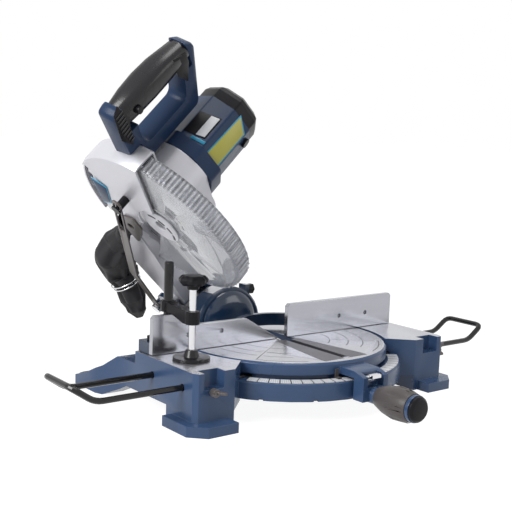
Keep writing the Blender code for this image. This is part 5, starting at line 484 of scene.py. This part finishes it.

# %% [markdown]
# The turntable's top has fine engraved arcs and lines, and the scale round it has a faint
# tick for each degree and a dark, wider one for every five. Cutting them would cost
# thousands of faces, so the engraved grooves are drawn as near-black painted shade, while the
# ticks are print. Both follow the angle round the table's own axis, so they are
# worked out from Object coordinates and turn with the table.

# %% Engraved lines and scale ticks
ARCS = [(ring, start, end) for start, end in ((32, 52), (56, 86)) for ring in (0.0755, 0.105, 0.128)]
ARCS.append((0.153, 25, 54))
ARC_HALF_WIDTH = 0.0010
SPOKE_ANGLE, SPOKE_HALF_ANGLE, SPOKE_MIDDLE, SPOKE_HALF_LENGTH = 53.5, 0.35, 0.1025, 0.0475
# The groove colour and its share are painted shade standing in for the cut lines; the tick colour is print.
GROOVE_PAINTED_SHADE, GROOVE_SHADE_SHARE = (0.09, 0.09, 0.10), 0.95
TICK, DEGREE_HALF, DEGREE_WIDTH, FIVE_HALF, FIVE_WIDTH = (0.03, 0.03, 0.035), 0.5, 0.10, 2.5, 0.28
DEGREE_STRENGTH = 0.5


def polar(tree):
    """Distance from the table's axis, and degrees away from straight ahead."""
    right, ahead = reach_along(tree, (table_axis.x, table_axis.y, 0), (1, 0, 0), (0, -1, 0))
    angle = math_node(tree, "ARCTAN2", math_node(tree, "ABSOLUTE", right), ahead)
    return distance_of(tree, right, ahead), math_node(tree, "DEGREES", angle)


def near(tree, value, target, reach):
    """1 where a value lies within reach of a target."""
    return math_node(tree, "COMPARE", value, target, reach)


def in_both(tree, first, second):
    return math_node(tree, "MULTIPLY", first, second)


tree = table_finish.node_tree
radius, angle = polar(tree)
marks = [in_both(tree, near(tree, radius, ring, ARC_HALF_WIDTH),
                 near(tree, angle, (start + end) / 2, (end - start) / 2)) for ring, start, end in ARCS]
marks.append(in_both(tree, near(tree, angle, SPOKE_ANGLE, SPOKE_HALF_ANGLE),
                     near(tree, radius, SPOKE_MIDDLE, SPOKE_HALF_LENGTH)))
# The engraved grooves are painted as near-black shade on the bare metal only.
lines = in_both(tree, either(tree, marks), table_mask)
paint_over(table_finish, math_node(tree, "MULTIPLY", lines, GROOVE_SHADE_SHARE), GROOVE_PAINTED_SHADE)

tree = scale_white.node_tree
radius, angle = polar(tree)
each = math_node(tree, "LESS_THAN", math_node(tree, "PINGPONG", angle, DEGREE_HALF), DEGREE_WIDTH)
fives = math_node(tree, "LESS_THAN", math_node(tree, "PINGPONG", angle, FIVE_HALF), FIVE_WIDTH)
paint_over(scale_white, either(tree, (math_node(tree, "MULTIPLY", each, DEGREE_STRENGTH), fives)), TICK)
print("engraved marks", len(marks))

# %% [markdown]
# The round boss behind the table is the same casting, but it reads darker and glossier in
# the photograph, so the table's paint darkens behind a line across the table.

# %% Darker boss
BOSS_FRONT = table_axis.y + 0.105
BOSS_BLUE = (0.009, 0.024, 0.056)
tree = table_finish.node_tree
behind = math_node(tree, "GREATER_THAN", split(tree, position(tree))["Y"], BOSS_FRONT)
painted = math_node(tree, "SUBTRACT", 1.0, table_mask)
paint_over(table_finish, in_both(tree, behind, painted), BOSS_BLUE)
print("boss darker behind y", round(BOSS_FRONT, 3))

# %% [markdown]
# Each visible casting gets a dressed copy of its solid: doubles merged, flat faces
# joined, and every sharp edge softened by half a millimetre, because a real edge always
# catches a line of light. A Bevel modifier would do it too, but the operator leaves a
# finished mesh. Pieces that move close to others get a smaller softening or none.

# %% Soft-edged copies
SOFTEN, SHARP, MERGE, FLAT = 0.0005, math.radians(30), 0.00002, math.radians(1.5)
SHADE_FLAT, SHADE_ROUND = 22, 42


def give(name, shape, finish, body, slot=None, smooth=24, stands_for=()):
    """Turns a bmesh into a named piece that rides on a body."""
    mesh = bpy.data.meshes.new(name)
    shape.normal_update()
    shape.to_mesh(mesh)
    shape.free()
    for face in mesh.polygons:
        face.use_smooth = True
    mesh.set_sharp_from_angle(angle=math.radians(smooth))
    mesh.materials.append(finish)
    item = bpy.data.objects.new(name, mesh)
    scene.collection.objects.link(item)
    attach(item, body)
    if stands_for:
        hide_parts(*stands_for)
        slot = slot or slots[stands_for[0]]
    return item


def dressed(name, finish, soften, smooth):
    """A soft-edged copy of a solid, which stands for it."""
    shape = bmesh.new()
    shape.from_mesh(nodes[name].data)
    bmesh.ops.remove_doubles(shape, verts=shape.verts, dist=MERGE)
    bmesh.ops.dissolve_limit(shape, angle_limit=FLAT, verts=shape.verts, edges=shape.edges)
    edges = [edge for edge in shape.edges if edge.is_manifold and edge.calc_face_angle(0) > SHARP]
    if soften:
        bmesh.ops.bevel(shape, geom=edges, offset=soften, segments=2, profile=0.5, affect="EDGES",
                        clamp_overlap=False, material=-1)
    return give(name + "_dressed", shape, finish, bodies[name], smooth=smooth, stands_for=(name,))


dress = {
    "base_casting": base_finish, "turntable": table_finish, "fence": fence_finish, "bevel_arm": deep_blue,
    "upper_guard": pearl, "gear_housing": pearl, "motor_housing": dark_blue, "motor_cap": black,
    "handle_frame": dark_blue, "handle_grip": rubber, "clamp_arm": black, "clamp_knob": black,
    "clamp_post": wire_coat, "clamp_pad": rubber, "kerf_insert_left": insert,
    "kerf_insert_right": insert, "mitre_handle": taupe_grip, "mitre_handle_cap": black,
    "mitre_handle_ring": blue, "guard_link": taupe, "guard_stay": taupe, "link_stud": black,
    "wing_bolt_left": taupe, "wing_bolt_right": taupe, "bevel_lock_knob": black,
    "bevel_stop_bolt": black, "lower_guard": clear, "guard_hub_plate": pearl, "trigger": black,
}
round_shapes = {"handle_grip", "handle_frame", "mitre_handle", "clamp_knob", "lower_guard"}
close_fits = {"lower_guard": 0.0002, "handle_frame": 0.0002, "handle_grip": 0.0002,
              "bevel_lock_knob": 0, "trigger": 0}
for name, finish in dress.items():
    dressed(name, finish, close_fits.get(name, SOFTEN), SHADE_ROUND if name in round_shapes else SHADE_FLAT)
print("dressed", len(dress))

# %% [markdown]
# What stays as the solid gets its finish straight on its material slots: the pieces
# inside the motor, the pins and bolts, the bars, the blade and the scale.

# %% Finishes of the other solids
plain = (
    (steel, ("pivot_bolt", "clamp_screw", "spindle", "arbor_bolt", "inner_flange", "outer_flange",
             "chop_pivot_pin", "link_pin", "bevel_shaft", "mitre_lock_rod", "head_lock_pin",
             "drive_gear", "motor_bearing", "return_spring", "mitre_latch")),
    (wire_coat, ("extension_bar_left", "extension_bar_right", "rear_support_bar")),
    (black, ("fence_bolt_left", "fence_bolt_right", "brush_cap_front", "brush_cap_rear",
             "lock_off_button", "spindle_lock_button", "dust_chute")),
    (blade_steel, ("saw_blade", "stator")), (copper, ("armature",)),
    (scale_white, ("mitre_scale",)), (taupe, ("mitre_pointer",)),
)
for finish, names in plain:
    for name in names:
        nodes[name].data.materials.clear()
        nodes[name].data.materials.append(finish)
print("plain", sum(len(names) for finish, names in plain))

# %% [markdown]
# The dust bag is a sewn cloth sleeve that hangs from the chute. Air keeps its neck round
# and its own weight pulls the rest down into folds. A circle is extruded ring by ring
# along the path of the sleeve, each ring with its own size, and a fixed wave presses the
# skin into folds. A cloth simulation would fold it too, but takes longer on every run.

# %% Cloth dust bag
SLEEVE = [((0, 0.1835, -0.0562), 0.0185), ((0, 0.1995, -0.068), 0.020), ((-0.008, 0.222, -0.078), 0.027),
          ((-0.026, 0.246, -0.100), 0.033), ((-0.036, 0.253, -0.134), 0.028),
          ((-0.042, 0.252, -0.158), 0.022), ((-0.052, 0.251, -0.186), 0.022),
          ((-0.062, 0.249, -0.206), 0.016), ((-0.069, 0.248, -0.218), 0.006)]
RINGS, RING_POINTS = 84, 56
AHEAD_STEP = 0.02
FOLDS_START, FOLDS_GROWTH = 0.10, 6
LONG_FOLD, CROSS_FOLD, CROSS_MIDDLE = 0.065, 0.17, 0.62


def along(share):
    """Place and radius of the sleeve at a share of its way, smoothly between stations."""
    spot = share * (len(SLEEVE) - 1)
    index = min(int(spot), len(SLEEVE) - 2)
    part = spot - index
    part = part * part * (3 - 2 * part)
    (first, wide), (last, narrow) = SLEEVE[index], SLEEVE[index + 1]
    return Vector(first).lerp(Vector(last), part), wide + (narrow - wide) * part


def heading(share):
    """Direction of the sleeve at a share of its way."""
    return along(min(1.0, share + AHEAD_STEP))[0] - along(max(0.0, share - AHEAD_STEP))[0]


def fold_depth(share, angle):
    """Folds: long ones down the sleeve, and short ones across it where it bends."""
    lengthwise = math.sin(3 * angle + 6.0 * share + 0.8) + 0.8 * math.sin(7 * angle - 11.0 * share)
    ridge = abs(math.sin(17 * share + 1.9 * math.sin(2 * angle + 0.6) + 0.7 * math.sin(5 * angle)))
    loose = min(1.0, max(0.0, (share - FOLDS_START) * FOLDS_GROWTH))
    return loose * (LONG_FOLD * lengthwise + CROSS_FOLD * (ridge - CROSS_MIDDLE))


shape = bmesh.new()
ring = bmesh.ops.create_circle(shape, cap_ends=True, segments=RING_POINTS, radius=1.0)["verts"]
edges = list({edge for vert in ring for edge in vert.link_edges})
spoke = {vert: vert.co.copy() for vert in ring}
for step in range(RINGS + 1):
    share = step / RINGS
    centre, radius = along(share)
    facing = heading(share).to_track_quat("Z", "X").to_matrix()
    if step:
        made = bmesh.ops.extrude_edge_only(shape, edges=edges)["geom"]
        fresh = [item for item in made if isinstance(item, bmesh.types.BMVert)]
        edges = [item for item in made if isinstance(item, bmesh.types.BMEdge)
                 and item.verts[0] in fresh and item.verts[1] in fresh]
        came_from = {vert.co.copy().freeze(): spoke[vert] for vert in ring}
        spoke = {vert: came_from[vert.co.copy().freeze()] for vert in fresh}
        ring = fresh
    for vert in ring:
        angle = math.atan2(spoke[vert].y, spoke[vert].x)
        vert.co = centre + facing @ (spoke[vert] * (radius * (1 + fold_depth(share, angle))))
bmesh.ops.contextual_create(shape, geom=edges)
bmesh.ops.recalc_face_normals(shape, faces=shape.faces)
shape.transform(HEAD)
bag = give("cloth_dust_bag", shape, cloth, "head", smooth=80, stands_for=("dust_bag",))
smoother = bag.modifiers.new("smooth_folds", "SUBSURF")
smoother.levels = smoother.render_levels = 1
print("bag faces", len(bag.data.polygons))

# %% [markdown]
# Flat trim: the coloured panels, the ribbed side of the handle and the small covers are
# plates about a millimetre thick. A texture could draw them, but a plate has an edge that
# catches light. One helper makes them all: a face from its corner points is extruded,
# its edges are rounded, and the plate is laid on the surface that carries it.

# %% Plates
EDGE_SOFTEN, EDGE_MOST = 0.0003, 0.4


def plate(name, outline, level, thick, matrix, finish, slot, soften=EDGE_SOFTEN, axes=(0, 1, 2)):
    """A thin plate on the head. Its outline lies in two of the matrix's axes, at a level on the third."""
    shape = bmesh.new()
    corners = []
    for first, second in outline:
        spot = [0.0, 0.0, 0.0]
        spot[axes[0]], spot[axes[1]], spot[axes[2]] = first, second, level
        corners.append(shape.verts.new(spot))
    face = shape.faces.new(corners)
    lift = [0.0, 0.0, 0.0]
    lift[axes[2]] = thick
    top = bmesh.ops.extrude_face_region(shape, geom=[face])["geom"]
    raised = [item for item in top if isinstance(item, bmesh.types.BMVert)]
    bmesh.ops.translate(shape, verts=raised, vec=lift)
    bmesh.ops.bevel(shape, geom=list(shape.edges), offset=min(soften, abs(thick) * EDGE_MOST), segments=2,
                    profile=0.5, affect="EDGES", clamp_overlap=True, material=-1)
    shape.transform(matrix)
    bmesh.ops.recalc_face_normals(shape, faces=shape.faces)
    return give(name, shape, finish, "head", slot)


FACET = 0.0474
side_of_motor = MOTOR @ Matrix.Rotation(math.radians(45), 4, "X")
top_of_motor = MOTOR @ Matrix.Rotation(math.radians(90), 4, "X")
motor_plates = (
    ("motor_badge_place", side_of_motor, black, "black_plastic", FACET, 0.0009,
     [(0.0915, 0.0188), (0.1310, 0.0188), (0.1390, -0.0140), (0.0985, -0.0140)]),
    ("motor_badge_inlay", side_of_motor, panel_white, "scale_white", FACET + 0.0008, 0.0006,
     [(0.0960, 0.0010), (0.1340, 0.0010), (0.1370, -0.0120), (0.1000, -0.0120)]),
    ("motor_cyan_bar", side_of_motor, cyan, "dark_blue", FACET, 0.0010,
     [(0.0870, 0.0040), (0.0925, 0.0040), (0.0952, -0.0180), (0.0897, -0.0180)]),
    ("motor_cyan_border", top_of_motor, cyan, "dark_blue", FACET, 0.0007,
     [(0.0820, 0.0105), (0.1660, 0.0070), (0.1520, -0.0185), (0.0780, -0.0185)]),
    ("motor_lime_panel", top_of_motor, lime, "dark_blue", FACET + 0.0006, 0.0006,
     [(0.0850, 0.0085), (0.1625, 0.0052), (0.1500, -0.0165), (0.0805, -0.0165)]),
)
for name, matrix, finish, slot, level, thick, outline in motor_plates:
    plate(name, outline, level, thick, matrix, finish, slot)
print("motor plates", len(motor_plates))

# %% [markdown]
# The left face of the blade housing carries a diamond-shaped place with a cyan edge, and
# arc-shaped slots round the spindle. The slots are not cut: thin black plates lie a little
# proud of the casting as painted shade, standing for the shade inside the hollows.

# %% Plates on the blade housing
HOUSING_LEFT = -0.0208
SIDEWAYS = (1, 2, 0)
DIAMOND = [(0.0722, 0.1035), (0.0506, 0.0825), (0.0829, 0.0447), (0.1052, 0.0442)]
DIAMOND_EDGE_THICK, DIAMOND_RISE, DIAMOND_THICK, DIAMOND_INNER = 0.0008, 0.0006, 0.0007, 0.86
SLOT_INNER, SLOT_OUTER, SLOT_THICK, SLOT_SOFTEN = 0.0285, 0.0325, 0.0004, 0.00015
SLOT_ANGLES = ((100, 128), (136, 160), (168, 192), (200, 224), (320, 346))

middle = Vector([sum(values) / len(DIAMOND) for values in zip(*DIAMOND)])
inner_diamond = [tuple(middle.lerp(Vector(point), DIAMOND_INNER)) for point in DIAMOND]
plate("housing_diamond_edge", DIAMOND, HOUSING_LEFT, -DIAMOND_EDGE_THICK, HEAD, cyan, "dark_blue",
      axes=SIDEWAYS)
plate("housing_diamond", inner_diamond, HOUSING_LEFT - DIAMOND_RISE, -DIAMOND_THICK, HEAD, dark_blue,
      "dark_blue", axes=SIDEWAYS)


def arc_outline(start, end, steps=10):
    """Corner points of a curved slot round the blade's centre, angles in degrees."""
    turns = [math.radians(start + (end - start) * step / steps) for step in range(steps + 1)]
    return ([(SLOT_OUTER * math.cos(turn), SLOT_OUTER * math.sin(turn)) for turn in turns]
            + [(SLOT_INNER * math.cos(turn), SLOT_INNER * math.sin(turn)) for turn in reversed(turns)])


# Each slot is a thin black plate of painted shade, not a hollow.
for index, (start, end) in enumerate(SLOT_ANGLES):
    plate(f"spindle_slot_shade_{index + 1}", arc_outline(start, end), HOUSING_LEFT, -SLOT_THICK, HEAD, black,
          "black_plastic", soften=SLOT_SOFTEN, axes=SIDEWAYS)
print("housing plates", 2 + len(SLOT_ANGLES))

# %% [markdown]
# The handle is a moulded frame. Its left leg has a ribbed black piece let into it, so
# that a thumb finds it, and a dark corner piece sits at its right end. The ribs are short
# bars in a row, made from one plate each, and they follow the slant of the leg.

# %% Handle details
HANDLE_FRONT, TRIM_THICK, RIB_LEVEL = -0.0167, 0.0009, 0.0008
FRONTWAYS = (0, 2, 1)
RIBBED = [(0.0093, 0.0336), (0.0190, -0.0009), (0.0086, -0.0466), (-0.0060, -0.0223), (-0.0018, 0.0233)]
CORNER = [(0.119, 0.012), (0.143, 0.004), (0.143, -0.014), (0.131, -0.042), (0.117, -0.019)]
RIB_COUNT, RIB_TOP, RIB_STEP, RIB_END = 9, 0.0190, 0.0068, 0.0140
RIB_LEFT, SLANT_FROM, SLANT_LEFT, SLANT = -0.0010, -0.015, 0.0010, 0.25
RIB_END_TOP, RIB_END_BOTTOM, RIB_BOTTOM = 0.0018, 0.0012, 0.0030

plate("handle_ribbed_base", RIBBED, HANDLE_FRONT, -TRIM_THICK, HANDLE, black, "black_plastic", axes=FRONTWAYS)
for index in range(RIB_COUNT):
    height = RIB_TOP - RIB_STEP * index
    left = RIB_LEFT if height > SLANT_FROM else SLANT_LEFT + (SLANT_FROM - height) * SLANT
    bar = [(left, height), (RIB_END, height + RIB_END_TOP), (RIB_END, height - RIB_END_BOTTOM),
           (left, height - RIB_BOTTOM)]
    plate(f"handle_rib_{index + 1}", bar, HANDLE_FRONT - RIB_LEVEL, -TRIM_THICK, HANDLE, rubber,
          "black_rubber", axes=FRONTWAYS)
plate("handle_corner", CORNER, HANDLE_FRONT, -TRIM_THICK, HANDLE, black, "black_plastic", axes=FRONTWAYS)
print("handle plates", 2 + RIB_COUNT)

# %% [markdown]
# A bright wire clip closes the sleeve of the dust bag. A small circle is spun into a
# ring, and two rings lie side by side round the cloth. The editor has a ready torus for
# this, but bmesh has no such operator, and a spin does the same.

# %% Wire clip
CLIP_SHARES, CLIP_WIDER, CLIP_WIRE = (0.575, 0.605), 1.12, 0.0013
for index, share in enumerate(CLIP_SHARES):
    centre, radius = along(share)
    facing = (HEAD.to_3x3() @ heading(share)).to_track_quat("Z", "X").to_matrix().to_4x4()
    shape = bmesh.new()
    section = bmesh.ops.create_circle(shape, cap_ends=False, segments=8, radius=CLIP_WIRE)["verts"]
    bmesh.ops.rotate(shape, verts=section, cent=(0, 0, 0), matrix=Matrix.Rotation(math.radians(90), 3, "X"))
    bmesh.ops.translate(shape, verts=section, vec=(radius * CLIP_WIDER, 0, 0))
    bmesh.ops.spin(shape, geom=list(shape.verts) + list(shape.edges), cent=(0, 0, 0), axis=(0, 0, 1),
                   angle=math.tau, steps=48, use_merge=True, use_duplicate=False)
    bmesh.ops.recalc_face_normals(shape, faces=shape.faces)
    shape.transform(Matrix.Translation(HEAD @ centre) @ facing)
    give(f"bag_clip_{index + 1}", shape, steel, "head", "steel", smooth=60)
print("clip rings", len(CLIP_SHARES))

# %% [markdown]
# The round boss behind the table has a shallow glossy dome on its front. Half of its
# outline is drawn as a few edges and spun round the axis on which the head tilts, which
# gives a rounder and lighter mesh than a squashed sphere.

# %% Dome on the boss
DOME = [(0.0560, 0.1435), (0.0540, 0.1395), (0.0470, 0.1350), (0.0350, 0.1322), (0.0180, 0.1306),
        (0.0, 0.1302)]
POLE_MERGE = 0.00001
tilt_axis = Vector(joints["bevel_tilt"]["pos_m"])
shape = bmesh.new()
points = [shape.verts.new((out, 0, table_axis.y + depth)) for out, depth in DOME]
lines = [shape.edges.new(pair) for pair in zip(points, points[1:])]
bmesh.ops.spin(shape, geom=points + lines, cent=(0, 0, 0), axis=(0, 0, 1), angle=math.tau, steps=72,
               use_merge=True, use_duplicate=False)
bmesh.ops.remove_doubles(shape, verts=shape.verts, dist=POLE_MERGE)
bmesh.ops.contextual_create(shape, geom=[edge for edge in shape.edges if edge.is_boundary])
bmesh.ops.recalc_face_normals(shape, faces=shape.faces)
lay_back = Matrix.Rotation(math.radians(-90), 4, "X")
shape.transform(Matrix.Translation((tilt_axis.x, 0, tilt_axis.z)) @ lay_back)
dome = give("boss_dome", shape, deep_blue, "turntable", "blue_paint", smooth=60)
print("dome faces", len(dome.data.polygons))

# %% [markdown]
# The rubber grip is moulded with rings at both ends and shallow slanted grooves between
# them, where the fingers lie. The grooves are bands along the grip, pressed in by bump,
# which keeps the grip's own mesh simple.

# %% Grip grooves
GRIP_RINGS, SLANTED, GROOVE_HALF = (0.0215, 0.0265, 0.1105, 0.1150), (0.052, 0.067, 0.082, 0.097), 0.0009
GROOVE_SLANT, GROOVE_STRENGTH, GROOVE_DEPTH = 0.45, 1.0, 0.0015
grip_finish = rubber.copy()
grip_finish.name = "grip_rubber"
tree = grip_finish.node_tree
handle_axes = HANDLE.to_3x3().col
lengthwise, height = reach_along(tree, HANDLE.translation, handle_axes[0], handle_axes[2])
slant = math_node(tree, "SUBTRACT", lengthwise, math_node(tree, "MULTIPLY", height, GROOVE_SLANT))
grooves = either(tree, [near(tree, lengthwise, ring, GROOVE_HALF) for ring in GRIP_RINGS]
                 + [near(tree, slant, ring, GROOVE_HALF) for ring in SLANTED])
press_in(grip_finish, math_node(tree, "SUBTRACT", 1.0, grooves), GROOVE_STRENGTH, GROOVE_DEPTH)
bpy.data.objects["handle_grip_dressed"].data.materials[0] = grip_finish
print("grip grooves", len(GRIP_RINGS) + len(SLANTED))
